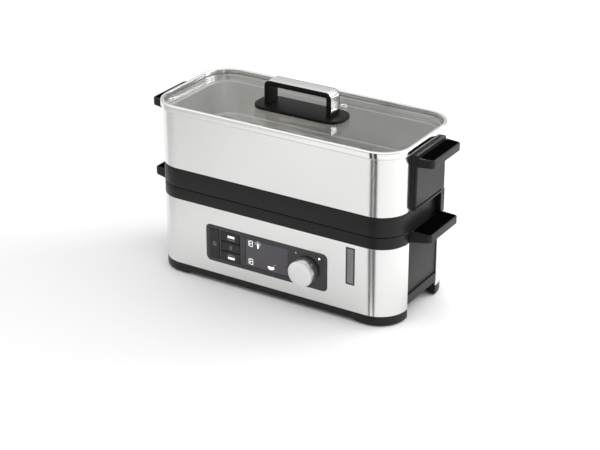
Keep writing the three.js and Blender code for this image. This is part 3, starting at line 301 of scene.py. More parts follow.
def add(thing, *others):
    for other in others:
        boolean(thing, other, "UNION")
    return thing


def fit(thing, body, finish, nodes=(), bevel=0.0, angle=32):
    """Smooths a piece, gives it its finish, and ties it to the frame."""
    mesh = thing.data
    mesh.shade_smooth()
    mesh.set_sharp_from_angle(angle=math.radians(angle))
    if bevel:
        edge = thing.modifiers.new("edge", "BEVEL")
        edge.width, edge.segments, edge.limit_method = bevel * MM, 2, "ANGLE"
        edge.angle_limit = math.radians(50)
        edge.use_clamp_overlap = True
        edge.harden_normals = True
    mesh.materials.clear()
    mesh.materials.append(finish)
    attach(thing, body)
    if nodes:
        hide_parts(*nodes)
    return thing


# ------------------------------------------------------------------ shader graphs


class Value:
    """A socket of a shader graph, ready for sums."""

    def __init__(self, graph, socket):
        self.graph, self.socket = graph, socket

    def _math(self, operation, *terms):
        return self.graph.node("ShaderNodeMath", {"operation": operation}, dict(enumerate(terms)))

    def __add__(self, other):
        return self._math("ADD", self, other)

    def __sub__(self, other):
        return self._math("SUBTRACT", self, other)

    def __rsub__(self, other):
        return self._math("SUBTRACT", other, self)

    def __mul__(self, other):
        return self._math("MULTIPLY", self, other)

    def __truediv__(self, other):
        return self._math("DIVIDE", self, other)

    def __pow__(self, other):
        return self._math("POWER", self, other)

    def __gt__(self, other):
        return self._math("GREATER_THAN", self, other)

    __radd__ = __add__
    __rmul__ = __mul__


class Finish:
    """A material under construction, with its Principled shader."""

    def __init__(self, name, **constants):
        self.material = bpy.data.materials.new(name)
        self.material.use_nodes = True
        self.tree = self.material.node_tree
        self.tree.nodes.clear()
        self.output = self.tree.nodes.new("ShaderNodeOutputMaterial")
        self.shader = self.tree.nodes.new("ShaderNodeBsdfPrincipled")
        self.link(self.shader.outputs[0], self.output.inputs["Surface"])
        for socket, value in constants.items():
            self.set(socket.replace("_", " "), value)

    def link(self, start, finish):
        self.tree.links.new(start.socket if isinstance(start, Value) else start, finish)

    def put(self, socket, value):
        """Gives a socket a link, a number or a colour."""
        if isinstance(value, Value):
            self.link(value, socket)
        elif isinstance(value, (int, float)):
            socket.default_value = value
        elif len(socket.default_value) == 4:
            socket.default_value = (*value[:3], 1)
        else:
            socket.default_value = value

    def set(self, socket, value):
        self.put(self.shader.inputs[socket], value)
        return self

    def node(self, kind, settings=None, sockets=None, output=0):
        """Adds a node: its settings first, then the values or links of its sockets."""
        made = self.tree.nodes.new(kind)
        for key, value in (settings or {}).items():
            if key == "stops":
                for i, (position, colour) in enumerate(value):
                    stop = made.color_ramp.elements[i] if i < 2 else made.color_ramp.elements.new(position)
                    stop.position, stop.color = position, (*colour, 1)
            else:
                setattr(made, key, value)
        for key, value in (sockets or {}).items():
            self.put(made.inputs[key], value)
        return Value(self, made.outputs[output])

    def place(self, stretch):
        """Object coordinates in metres, stretched along each axis."""
        start = self.node("ShaderNodeTexCoord", output="Object")
        return self.node("ShaderNodeVectorMath", {"operation": "MULTIPLY"}, {0: start, 1: stretch})

    def noise(self, stretch, detail=2.0, roughness=0.5):
        """Noise with so many features per metre along each axis."""
        if isinstance(stretch, (int, float)):
            stretch = (stretch,) * 3
        sockets = {"Vector": self.place(stretch), "Scale": 1.0, "Detail": detail, "Roughness": roughness}
        return self.node("ShaderNodeTexNoise", None, sockets)

    def blend(self, factor, first, second):
        """A colour between two colours."""
        return self.node(
            "ShaderNodeMix", {"data_type": "RGBA"}, {"Factor": factor, 6: first, 7: second}, 2
        )

    def bump(self, height, distance, strength=1.0):
        """Relief of a height in 0..1 over a distance in millimetres."""
        made = self.node(
            "ShaderNodeBump", None, {"Height": height, "Distance": distance * MM, "Strength": strength}
        )
        self.set("Normal", made)
        return self


def tint(colour, factor):
    return tuple(min(c * factor, 1) for c in colour[:3])


_made = {}


def finish(name):
    """The material of that name, made on first use."""
    if name not in _made:
        _made[name] = FINISHES[name](bpy.context.scene.steamer_finishes).material
    return _made[name]


def brushed(name, colour, across, rough, depth=0.004):
    """Brushed metal: fine scratches that run along the two slow axes, with faint handling marks."""
    made = Finish(name, Metallic=1.0)
    lines = made.noise(across, 3, 0.6)
    clouds = made.noise(14, 2)
    marks = made.noise(55, 3)
    made.set("Base Color", made.blend(clouds * 0.6 + lines * 0.4, tint(colour, 0.95), tint(colour, 1.03)))
    made.set("Roughness", rough - 0.05 + lines * 0.09 + (marks > 0.64) * 0.015)
    return made.bump(lines, depth)


def steel_skin(p):
    return brushed("brushed_steel_skin", p.steel_colour, (14, 14, 2600), p.steel_roughness)


def steel_liner(p):
    """Inner steel, satin enough to scatter the light that comes through the lid."""
    made = brushed("brushed_steel_liner", (0.66, 0.648, 0.625), (60, 1800, 1900), 0.36)
    made.set("Metallic", 0.88)
    return made


def steel_bright(p):
    made = Finish("polished_steel", Metallic=1.0)
    smudge = made.noise(38, 3, 0.6)
    hairlines = made.noise((500, 40, 900), 2)
    made.set("Base Color", made.blend(smudge, (0.80, 0.80, 0.79), (0.88, 0.88, 0.87)))
    made.set("Roughness", 0.07 + smudge * 0.05 + hairlines * 0.03)
    return made.bump(hairlines, 0.0006)


def steel_turned(p):
    """The knob's face: turning rings about its own axis."""
    made = Finish("turned_steel", Metallic=1.0)
    low, high = extent("knob_shell")
    centre = (low + high) / 2 * MM
    spot = made.node("ShaderNodeTexCoord", output="Object")
    away = made.node(
        "ShaderNodeVectorMath", {"operation": "SUBTRACT"}, {0: spot, 1: (centre.x, 0.0, centre.z)}
    )
    flatly = made.node("ShaderNodeVectorMath", {"operation": "MULTIPLY"}, {0: away, 1: (1.0, 0.0, 1.0)})
    radius = made.node("ShaderNodeVectorMath", {"operation": "LENGTH"}, {0: flatly}, "Value")
    line = made.node("ShaderNodeCombineXYZ", None, {"X": radius * 5200})
    rings = made.node("ShaderNodeTexNoise", None, {"Vector": line, "Scale": 1.0, "Detail": 2.0})
    made.set("Base Color", made.blend(rings, (0.74, 0.74, 0.735), (0.86, 0.86, 0.855)))
    made.set("Roughness", 0.24 + rings * 0.12)
    return made.bump(rings, 0.003)


def steel_knob(p):
    return brushed("satin_steel_knob", (0.86, 0.86, 0.855), (50, 3200, 50), 0.3)


def moulded(name, colour, rough, grain=2300, depth=0.012, specular=0.5):
    """Moulded plastic with spark-eroded grain and slight wear of the sheen."""
    made = Finish(name, Specular_IOR_Level=specular)
    fine = made.noise(grain, 2, 0.6)
    broad = made.noise(30, 3)
    made.set("Base Color", made.blend(broad, tint(colour, 0.86), tint(colour, 1.16)))
    made.set("Roughness", rough - 0.05 + broad * 0.06 + fine * 0.05)
    return made.bump(fine, depth)


def plastic_satin(p):
    return moulded("satin_black_plastic", p.body_colour, p.body_roughness, specular=0.28)


def plastic_lid(p):
    return moulded("lid_handle_plastic", tint(p.body_colour, 0.7), 0.48, specular=0.12)


def plastic_grip(p):
    return moulded("matt_black_grip", p.grip_colour, 0.7, 1500, 0.02, 0.0)


def plastic_grey(p):
    return moulded("dark_grey_plastic", (0.045, 0.045, 0.048), 0.5)


def plastic_ivory(p):
    return moulded("ivory_plastic", (0.80, 0.74, 0.60), 0.36, 1800, 0.006)


def rubber(p):
    return moulded("foot_rubber", (0.012, 0.012, 0.012), 0.82, 1400, 0.03, 0.3)


def seal_rubber(p):
    return moulded("seal_silicone", (0.022, 0.022, 0.023), 0.6, 1800, 0.01, 0.4)


def seal_clear(p):
    return moulded("clear_silicone", (0.50, 0.50, 0.49), 0.5, 1500, 0.01, 0.4)


def panel_gloss(p):
    made = Finish("panel_gloss_black", Specular_IOR_Level=0.5)
    haze = made.noise(90, 3, 0.6)
    made.set("Base Color", made.blend(haze, tint(p.panel_colour, 0.9), tint(p.panel_colour, 1.12)))
    made.set("Roughness", 0.13 + haze * 0.07)
    return made.bump(made.noise(260, 2), 0.002)


def panel_band(p):
    """Printed band between the keys and the display."""
    made = Finish("printed_band", Specular_IOR_Level=0.4)
    print_grain = made.noise(1400, 2)
    made.set("Base Color", made.blend(print_grain, tint(p.display_colour, 0.55),
        tint(p.display_colour, 0.68)))
    made.set("Roughness", 0.24 + print_grain * 0.08)
    return made.bump(print_grain, 0.001)


def panel_keys(p):
    made = Finish("key_soft_black", Specular_IOR_Level=0.34)
    fine = made.noise(3000, 2)
    made.set("Base Color", made.blend(fine, tint(p.panel_colour, 0.62), tint(p.panel_colour, 0.8)))
    made.set("Roughness", 0.30 + fine * 0.08)
    return made.bump(fine, 0.004)


def display_face(p):
    """Smoked window over a dim grid of liquid-crystal cells."""
    made = Finish("display_window", Specular_IOR_Level=0.5)
    cells = made.noise((7000, 10, 7000), 1)
    glow = made.noise(32, 2)
    made.set("Base Color", made.blend(cells * 0.3 + glow * 0.7, tint(p.display_colour, 0.9),
        tint(p.display_colour, 1.1)))
    made.set("Roughness", 0.16 + glow * 0.05)
    return made.bump(cells, 0.0006)


def lit(name, colour, strength):
    made = Finish(name, Base_Color=colour, Roughness=0.4, Emission_Strength=strength)
    grain = made.noise(4200, 2)
    made.set("Emission Color", made.blend(grain, tint(colour, 0.9), colour))
    made.set("Roughness", 0.36 + grain * 0.1)
    return made


def symbol_lit(p):
    return lit("lit_symbols", p.symbol_colour[:3], p.symbol_strength)


def symbol_dim_painted_glow(p):
    # Symbols that are not lit, given a faint emission: painted glow that keeps them grey whatever the light.
    return lit("unlit_symbols_painted_glow", (0.26, 0.26, 0.265), 0.35)


def glass_clear(p):
    """Tempered glass: a clear sheet with a sheen that grows at glancing angles."""
    made = Finish("tempered_glass")
    return clear_sheet(made, p.glass_colour[:3], 0.012, 1.45)


def plastic_clear(p):
    made = Finish("clear_plastic")
    return clear_sheet(made, (0.90, 0.92, 0.92), 0.06, 1.4)


def clear_sheet(made, colour, rough, ior):
    made.tree.nodes.remove(made.shader)
    ripple = made.noise(12, 1)
    normal = made.node("ShaderNodeBump", None, {"Height": ripple, "Distance": 0.00002, "Strength": 0.4})
    through = made.node("ShaderNodeBsdfTransparent", None, {"Color": colour})
    shine = made.node("ShaderNodeBsdfGlossy", None, {"Roughness": rough, "Normal": normal})
    facing = made.node("ShaderNodeLayerWeight", None, {"Blend": 0.5, "Normal": normal}, "Facing")
    head_on = ((ior - 1) / (ior + 1)) ** 2
    face = head_on + facing**5 * (1 - head_on)
    mixed = made.node("ShaderNodeMixShader", None, {0: face, 1: through, 2: shine})
    made.link(mixed, made.output.inputs["Surface"])
    return made


def window_lens(p):
    """Frosted sight window, a little clearer than it is grey."""
    made = Finish("frosted_window", Specular_IOR_Level=0.5)
    frost = made.noise(1900, 2)
    glow = made.noise(46, 2)
    made.set("Base Color", made.blend(glow, (0.19, 0.193, 0.20), (0.31, 0.315, 0.325)))
    made.set("Roughness", 0.2 + frost * 0.12)
    made.bump(frost, 0.004)
    through = made.node("ShaderNodeBsdfTransparent", None, {"Color": (0.72, 0.75, 0.78)})
    solid = Value(made, made.shader.outputs[0])
    mixed = made.node("ShaderNodeMixShader", None, {0: 0.72 + glow * 0.08, 1: through, 2: solid})
    made.link(mixed, made.output.inputs["Surface"])
    return made


def cast_aluminium(p):
    made = Finish("cast_aluminium", Metallic=1.0)
    pits = made.noise(900, 4, 0.7)
    made.set("Base Color", made.blend(pits, (0.42, 0.43, 0.44), (0.62, 0.63, 0.64)))
    made.set("Roughness", 0.38 + pits * 0.2)
    return made.bump(pits, 0.05)


def zinc(p):
    made = Finish("zinc_plated_steel", Metallic=1.0)
    flakes = made.noise(420, 3, 0.7)
    made.set("Base Color", made.blend(flakes, (0.46, 0.47, 0.47), (0.66, 0.66, 0.63)))
    made.set("Roughness", 0.3 + flakes * 0.2)
    return made.bump(flakes, 0.01)


def board(p):
    """Circuit board lacquer over a faint net of tracks."""
    made = Finish("board_lacquer", Roughness=0.4)
    tracks = made.node(
        "ShaderNodeTexBrick",
        {"offset": 0.37},
        {"Vector": made.place((260, 260, 260)), "Color1": (0.02, 0.13, 0.07),
        "Color2": (0.015, 0.10, 0.055),
         "Mortar": (0.05, 0.22, 0.12), "Scale": 1.0, "Mortar Size": 0.03},
    )
    made.set("Base Color", tracks)
    return made.bump(made.noise(500, 2), 0.02)


FINISHES = {
    "steel_skin": steel_skin,
    "steel_liner": steel_liner,
    "steel_bright": steel_bright,
    "steel_turned": steel_turned,
    "steel_knob": steel_knob,
    "plastic_satin": plastic_satin,
    "plastic_lid": plastic_lid,
    "plastic_grip": plastic_grip,
    "plastic_grey": plastic_grey,
    "plastic_ivory": plastic_ivory,
    "rubber": rubber,
    "seal_rubber": seal_rubber,
    "seal_clear": seal_clear,
    "panel_gloss": panel_gloss,
    "panel_band": panel_band,
    "panel_keys": panel_keys,
    "display_face": display_face,
    "symbol_lit": symbol_lit,
    "symbol_dim_painted_glow": symbol_dim_painted_glow,
    "glass_clear": glass_clear,
    "plastic_clear": plastic_clear,
    "window_lens": window_lens,
    "cast_aluminium": cast_aluminium,
    "zinc": zinc,
    "board": board,
}


# ------------------------------------------------------------------ sizes and colours a user may change


def length(name, description, default, **limits):
    return bpy.props.FloatProperty(
        name=name, description=description, default=default, unit="LENGTH", subtype="DISTANCE", **limits
    )


def colour(name, description, default):
    return bpy.props.FloatVectorProperty(
        name=name, description=description, default=default, subtype="COLOR", size=3, min=0, max=1
    )


def share(name, description, default):
    return bpy.props.FloatProperty(
        name=name, description=description, default=default, subtype="FACTOR", min=0, max=1
    )


class SteamerFinishes(bpy.types.PropertyGroup):
    steel_colour: colour("Steel", "Colour of the brushed steel", (0.80, 0.795, 0.785))
    steel_roughness: share("Steel roughness", "How soft the reflections in the steel are", 0.2)
    body_colour: colour("Body plastic", "Colour of the satin black mouldings", (0.0085, 0.0075, 0.007))
    body_roughness: share("Body roughness", "Roughness of the satin black mouldings", 0.42)
    grip_colour: colour("Grip", "Colour of the matt tops of the handles", (0.002, 0.002, 0.002))
    panel_colour: colour("Panel", "Colour of the gloss control panel", (0.026, 0.025, 0.026))
    display_colour: colour("Display", "Colour of the smoked display window", (0.074, 0.068, 0.080))
    symbol_colour: colour("Symbols", "Colour of the lit symbols and digits", (1.0, 1.0, 1.0))
    symbol_strength: bpy.props.FloatProperty(
        name="Symbol brightness", description="Light given by the lit symbols", default=0.9, min=0, max=10
    )
    glass_colour: colour("Glass", "Tint of the lid's glass", (0.965, 0.97, 0.966))


class SteamerShapes(bpy.types.PropertyGroup):
    plastic_edge: length("Plastic edge", "Radius of the edges of the black mouldings", 0.0009)
    steel_edge: length("Steel edge", "Radius of the edges of the steel sleeves", 0.0003)
    lid_rim_edge: length("Lid rim edge", "Radius of the outer edge of the lid's frame", 0.0034)
    window_frame: length("Window frame", "Width of the frame round the water window", 0.0013)
    key_edge: length("Key edge", "Radius of the edges of the keys", 0.0005)


class SteamerStudio(bpy.types.PropertyGroup):
    floor_colour: colour("Floor", "Colour of the floor", (0.93, 0.93, 0.93))
    floor_size: length("Floor size", "Length of each side of the floor", 14.0)
    lens: bpy.props.FloatProperty(
        name="Lens", description="Focal length of the camera", default=99.0, unit="CAMERA",
        subtype="DISTANCE_CAMERA"
    )
    dome_low: bpy.props.FloatProperty(name="Low dome",
        description="Brightness of the dome near the horizon", default=0.85, min=0)
    dome_high: bpy.props.FloatProperty(name="High dome", description="Brightness of the dome overhead",
        default=1.52, min=0)
    side_power: bpy.props.FloatProperty(
        name="Side light", description="Power of the soft light at the right", default=16.0, unit="POWER",
        min=0
    )


# ------------------------------------------------------------------ base unit


class STEAMER_OT_pan(bpy.types.Operator):
    """Base pan: skirt with arches, riser, floor, rails, foot posts and screw bosses, with the hatch for the
    bottom cover; feet
    """

    bl_idname = "steamer.pan"
    bl_label = "Base pan and feet"

    def execute(self, context):
        edge = context.scene.steamer_shapes.plastic_edge / MM
        skirt_top = STEEL_LOW.z - 0.3
        foot_low, _ = extent("foot_1")
        lift = PAN_LOW.z
        floor_top = extent("bottom_cover")[1].z + 2.8
        profile = rounded(
            [(0, skirt_top, 0.3), (0, lift, 2.0), (8, lift, edge), (8, floor_top, 0), (4.1, floor_top, 0.4),
             (4.1, skirt_top, 0)]
        )
        pan = sweep("pan_shell", body_outline(), profile)
        feet = [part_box(f"foot_{i}") for i in range(1, 5)]
        spots = [((low + high) / 2 / MM).to_2d() for low, high in feet]
        cover_low, cover_high = extent("bottom_cover")
        screws = [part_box(f"cover_screw_{i}") for i in range(1, 5)]
        screw_spots = [((low + high) / 2 / MM).to_2d() for low, high in screws]
        add(pan, outline_slab("floor", 7, [(0, cover_high.z + 0.3), (0, floor_top)]))
        rails = [
            block("rail", (side * (END - 4) - 4, MIDDLE - 33.7, skirt_top - 1),
            (side * (END - 4) + 4, MIDDLE + 33.7, PAN_HIGH.z))
            for _, side in SIDES
        ]
        add(pan, joined(rails))
        posts = [lathe("post", [(0, lift), (12.4, lift), (13, lift + 0.6), (13, floor_top),
            (0, floor_top)], *s) for s in spots]
        add(pan, joined(posts))
        bosses = [
            lathe("boss", [(0, floor_top - 1), (4.4, floor_top - 1), (4.4, cover_high.z + 9.3),
            (0, cover_high.z + 9.3)], *s, steps=24)
            for s in screw_spots
        ]
        add(pan, joined(bosses))
        front_arch = arch_tool("front arch", 115.5, lift + 3.3)
        side_arch = block("side arch", (-2 * END, MIDDLE - BAY, -1), (2 * END, MIDDLE + BAY, 18.5))
        hatch_length = cover_high.x - cover_low.x - 18
        hatch_depth = cover_high.y - cover_low.y - 18
        hatch = slab("hatch", hatch_length, hatch_depth, 4, [(0, 10), (0, 30)], 0, MIDDLE)
        seats = joined([lathe("seat", [(0, 0), (10.3, 0), (10.3, 3.5), (0, 3.5)], *s) for s in spots])
        pilots = joined([lathe("pilot", [(0, 0), (1.9, 0), (1.9, 27.2), (0, 27.2)], *s, steps=16)
            for s in screw_spots])
        cut(pan, front_arch, side_arch, hatch, seats, pilots)
        fit(pan, "base", finish("plastic_satin"), ["base_pan"])
        for i, spot in enumerate(spots, 1):
            profile = [(0, 0.5), (6.2, 0.5), (6.8, 0), (9.2, 0), (10, 0.8), (10, 2.6), (9.6, 3.2), (0, 3.2)]
            foot = lathe(f"rubber_foot_{i}", profile, *spot, foot_low.z, 56)
            fit(foot, "base", finish("rubber"), [f"foot_{i}"])
        return {"FINISHED"}


def arch_tool(name, half, top, slope=6.0):
    """Cutter for the low arch under the front and rear, with sloping ends."""
    rings = []
    for y in (-2 * DEPTH, 2 * DEPTH):
        rings.append([(-half, y, -1), (-half, y, top - 2), (-half + slope, y, top),
            (half - slope, y, top), (half, y, top - 2), (half, y, -1)])
    return skin(name, rings)


class STEAMER_OT_sleeves(bpy.types.Operator):
    """Front and rear steel sleeves with their panel, window and cord openings"""

    bl_idname = "steamer.sleeves"
    bl_label = "Steel sleeves"

    def execute(self, context):
        edge = context.scene.steamer_shapes.steel_edge / MM
        low, high = STEEL_LOW.z, STEEL_HIGH.z
        fold = 5.0
        profile = rounded([(0, low, edge), (0, high, edge), (SHEET, high, 0.2), (SHEET, low, 0.2)])
        front = sweep("steel_front", half_outline(-1, BAY + 0.3, 20), profile, closed=False)
        panel_low, panel_high = extent("panel_fascia")
        opening = slab(
            "panel opening", panel_high.x - panel_low.x + 0.6, panel_high.z - panel_low.z + 0.6, 6.3,
            [(0, -fold), (0, fold)], (panel_low.x + panel_high.x) / 2, (panel_low.z + panel_high.z) / 2,
            10, upright,
        )
        x, z, width, height = window_place()
        window = slab("window opening", width, height, 0.4, [(0, -fold), (0, fold)], x, z, 3, upright)
        cut(front, opening, window)
        fit(front, "base", finish("steel_skin"), ["front_sleeve"])
        rear = sweep("steel_rear", half_outline(1, BAY + 0.3, 20), profile, closed=False)
        gland_low, gland_high = extent("cord_gland")
        centre = (gland_low + gland_high) / 2
        hole = lathe("gland opening", [(0, DEPTH - fold), (6.8, DEPTH - fold), (6.8, DEPTH + fold),
            (0, DEPTH + fold)],
                     centre.x, centre.z, place=upright)
        cut(rear, hole)
        fit(rear, "base", finish("steel_skin"), ["rear_sleeve"])
        return {"FINISHED"}


def window_place():
    """Centre x and z, width and height of the water window's opening."""
    low, high = extent("sight_glass")
    top, bottom = STEEL_HIGH.z + 0.3 - 5, low.z + 2.2
    return (low.x + high.x) / 2, (top + bottom) / 2, 10.7, top - bottom


class STEAMER_OT_rim(bpy.types.Operator):
    """Black rim of the base with its inner ledge and a handle at each end"""

    bl_idname = "steamer.rim"
    bl_label = "Base rim and lower handles"

    def execute(self, context):
        edge = context.scene.steamer_shapes.plastic_edge / MM
        ledge = RIM_TOP - 6.5
        profile = rounded(
            [(0, RIM_BOTTOM, edge), (0, RIM_TOP, edge), (4, RIM_TOP, edge), (4, ledge, 0.4),
            (14, ledge, 0.6), (14, RIM_BOTTOM, 0.4)]
        )
        rim = sweep("rim_ring", body_outline(20), profile)
        right = end_handle("handle", END - 1, RIM_TOP, 13.5)
        left = mirror(right, "handle left")
        add(rim, right, left)
        fit(rim, "base", finish("plastic_satin"), ["base_rim"])
        grips(context, "lower", RIM_TOP, END + 2.5, "base")
        return {"FINISHED"}


def end_handle(name, root, top, thickness, edge=1.1):
    """A handle out from the right end: flat on top, its underside rising to the tip, hollow underneath."""
    wide, narrow, radius, tip_thickness = 35.0, 32.5, 4.0, 9.4
    rings = []
    stations = [(root, 0.0), (tip_x(0.25, root), 0.0), (tip_x(0.6, root), 0.0)]
    stations += [(TIP - radius - 0.2, 0.0)]
    for a in quarter(8):
        stations.append((TIP - radius + radius * math.sin(a), radius * (1 - math.cos(a))))
    for x, pull in stations:
        share_out = min((x - root) / (TIP - root), 1)
        half = wide + (narrow - wide) * share_out - pull
        bottom = top - thickness + (thickness - tip_thickness) * share_out
        shrink = max(0.0, x - (TIP - edge))
        soft = edge - math.sqrt(max(edge**2 - shrink**2, 0))
        corner = rectangle(2 * half, top - bottom - 2 * soft, edge, 4, MIDDLE, (top + bottom) / 2)
        rings.append([(x, v, w) for v, w, _, _ in corner])
    handle = skin(name, rings)
    skin_thickness = 2.6
    inner, outer = END + skin_thickness + 7, TIP - skin_thickness
    hollow = slab(
        "hollow", outer - inner, 2 * (narrow - skin_thickness), 3,
        [(0, top - thickness - 2), (0, top - skin_thickness - 0.6), (0.6, top - skin_thickness)],
        (inner + outer) / 2, MIDDLE, 6,
    )
    return cut(handle, hollow)


def tip_x(part, root):
    return root + (TIP - root) * part


def grips(context, name, top, root, body):
    """Thin matt inlays on the flat tops of both handles."""
    for side_name, side in SIDES:
        margin, thickness = 1.6, 0.12
        outer = TIP - margin
        grip = slab(
            f"{name}_grip_{side_name}", outer - root, 62.5, 3.0,
            [(0, top - 0.25), (0, top + thickness - 0.08), (0.08, top + thickness)],
            side * (root + outer) / 2, MIDDLE, 8,
        )
        fit(grip, body, finish("plastic_grip"))


class STEAMER_OT_tray(bpy.types.Operator):
    """Drip tray: the black band between the tiers, its floor, locating lip and steam chimney"""

    bl_idname = "steamer.tray"
    bl_label = "Drip tray"

    def execute(self, context):
        edge = context.scene.steamer_shapes.plastic_edge / MM
        floor_top = BAND_BOTTOM + 2.5
        profile = rounded([(0, BAND_BOTTOM, edge), (0, BAND_TOP, edge), (3, BAND_TOP, 0.8),
            (3, BAND_BOTTOM, 0)])
        tray = sweep("tray_band", body_outline(20), profile)
        floor = outline_slab("floor", 2, [(0, BAND_BOTTOM), (0, floor_top)], 20)
        lip_profile = rounded([(4.6, TRAY_LOW.z, 0.5), (4.6, BAND_BOTTOM + 1, 0),
            (7.1, BAND_BOTTOM + 1, 0), (7.1, TRAY_LOW.z, 0.5)])
        lip = sweep("lip", body_outline(20), lip_profile)
        tank_low, tank_high = extent("steam_ring")
        centre_y = (tank_low.y + tank_high.y) / 2
        top = BAND_BOTTOM + 17
        chimney = slab("chimney", 60, 30, 8,
            [(0, BAND_BOTTOM + 0.5), (0, top - 1), (0.3, top - 0.3), (1, top)], 0, centre_y)
        add(tray, floor, lip, chimney)
        flue = slab("flue", 56, 26, 6, [(0, BAND_BOTTOM - 5), (0, top + 5)], 0, centre_y)
        cut(tray, flue)
        fit(tray, "drip_tray", finish("plastic_satin"), ["drip_tray"])
        return {"FINISHED"}


class STEAMER_OT_bowl(bpy.types.Operator):
    """Deep steel bowl: rolled bead, insert shelf, sill and the collar that drops into the tray"""

    bl_idname = "steamer.bowl"
    bl_label = "Bowl"

    def execute(self, context):
        shelf = BOWL_TOP - 7.5
        sill = BOWL_BOTTOM + SHEET
        profile = rounded(
            [(0, BOWL_BOTTOM, 0.3), (0, BOWL_TOP - 1.6, 0.5), (-1.2, BOWL_TOP - 1.6, 0.7),
            (-1.2, BOWL_TOP, 0.75),
             (SHEET, BOWL_TOP, 0.6), (SHEET, shelf, 0.8), (5, shelf, 0.45), (5, shelf - 1, 0.45),
             (SHEET, shelf - 1, 0.6),
             (SHEET, sill, 1.6), (16, sill, 0.45), (16, BOWL_BOTTOM, 0.45), (4.6, BOWL_BOTTOM, 0.5),
             (4.6, BOWL_LOW.z, 0.4),
             (3.6, BOWL_LOW.z, 0.4), (3.6, BOWL_BOTTOM, 0.4)], 4,
        )
        bowl = sweep("bowl_shell", body_outline(22), profile)
        fit(bowl, "bowl", finish("steel_skin"), ["bowl"])
        return {"FINISHED"}


class STEAMER_OT_bowl_handles(bpy.types.Operator):
    """Handles of the bowl, each on its bracket"""

    bl_idname = "steamer.bowl_handles"
    bl_label = "Bowl handles"

    def execute(self, context):
        _, high = extent("bowl_handle_right")
        top = high.z
        root = END + 7.3
        tongue_top = top - 2.6
        for name, side in SIDES:
            handle = end_handle("bowl_grip_" + name, root, top, 10.4)
            tongue = block("tongue", (END + 3.1, MIDDLE - 27, tongue_top - 5),
                (root + 1, MIDDLE + 27, tongue_top))
            add(handle, tongue)
            if side < 0:
                handle = swap_side(handle)
            fit(handle, "bowl", finish("plastic_satin"), ["bowl_handle_" + name])
        grips(context, "upper", top, root + 1.0, "bowl")
        return {"FINISHED"}


def swap_side(thing):
    thing.data.transform(Matrix.Scale(-1, 4, (1, 0, 0)))
    thing.data.flip_normals()
    return thing


class STEAMER_OT_inserts(bpy.types.Operator):
    """The two perforated steel inserts inside the bowl"""

    bl_idname = "steamer.inserts"
    bl_label = "Perforated inserts"

    def execute(self, context):
        low, high = extent("upper_insert")
        profile = rounded(
            [(1.6, high.z, 0.45), (6.6, high.z, 1.2), (6.6, low.z + 1, 2.0), (9.5, low.z + 1, 0),
            (9.5, low.z, 0),
             (5.6, low.z, 2.6), (5.6, high.z - 1, 0.8), (1.6, high.z - 1, 0.45)], 4,
        )
        self.basket("upper_tray", "upper_insert", profile, 5.6, low.z, 11.6)
        low, high = extent("lower_insert")
        profile = rounded(
            [(5.6, high.z, 0.45), (6.6, high.z, 0.45), (6.6, low.z + 1, 2.0), (9.5, low.z + 1, 0),
            (9.5, low.z, 0), (5.6, low.z, 2.6)], 4
        )
        self.basket("lower_tray", "lower_insert", profile, 5.6, low.z, 20)
        return {"FINISHED"}

    def basket(self, name, node, profile, inset, floor, slot_inset):
        walls = sweep(name, body_outline(18), profile)
        add(walls, outline_slab("floor", inset + 2.6, [(0, floor), (0, floor + 1)], 18))
        span_x = LENGTH - 2 * slot_inset - 26
        span_y = DEPTH - 2 * slot_inset - 25
        tools = []
        for i in range(8):
            for j in range(3):
                x, y = (i / 7 - 0.5) * span_x, (j / 2 - 0.5) * span_y
                tools.append(slab("slot", 16, 5, 2.45, [(0, floor - 1), (0, floor + 2)], x, MIDDLE + y, 5))
        cut(walls, joined(tools))
        fit(walls, node, finish("steel_liner"), [node], 0.12)


# ------------------------------------------------------------------ control panel


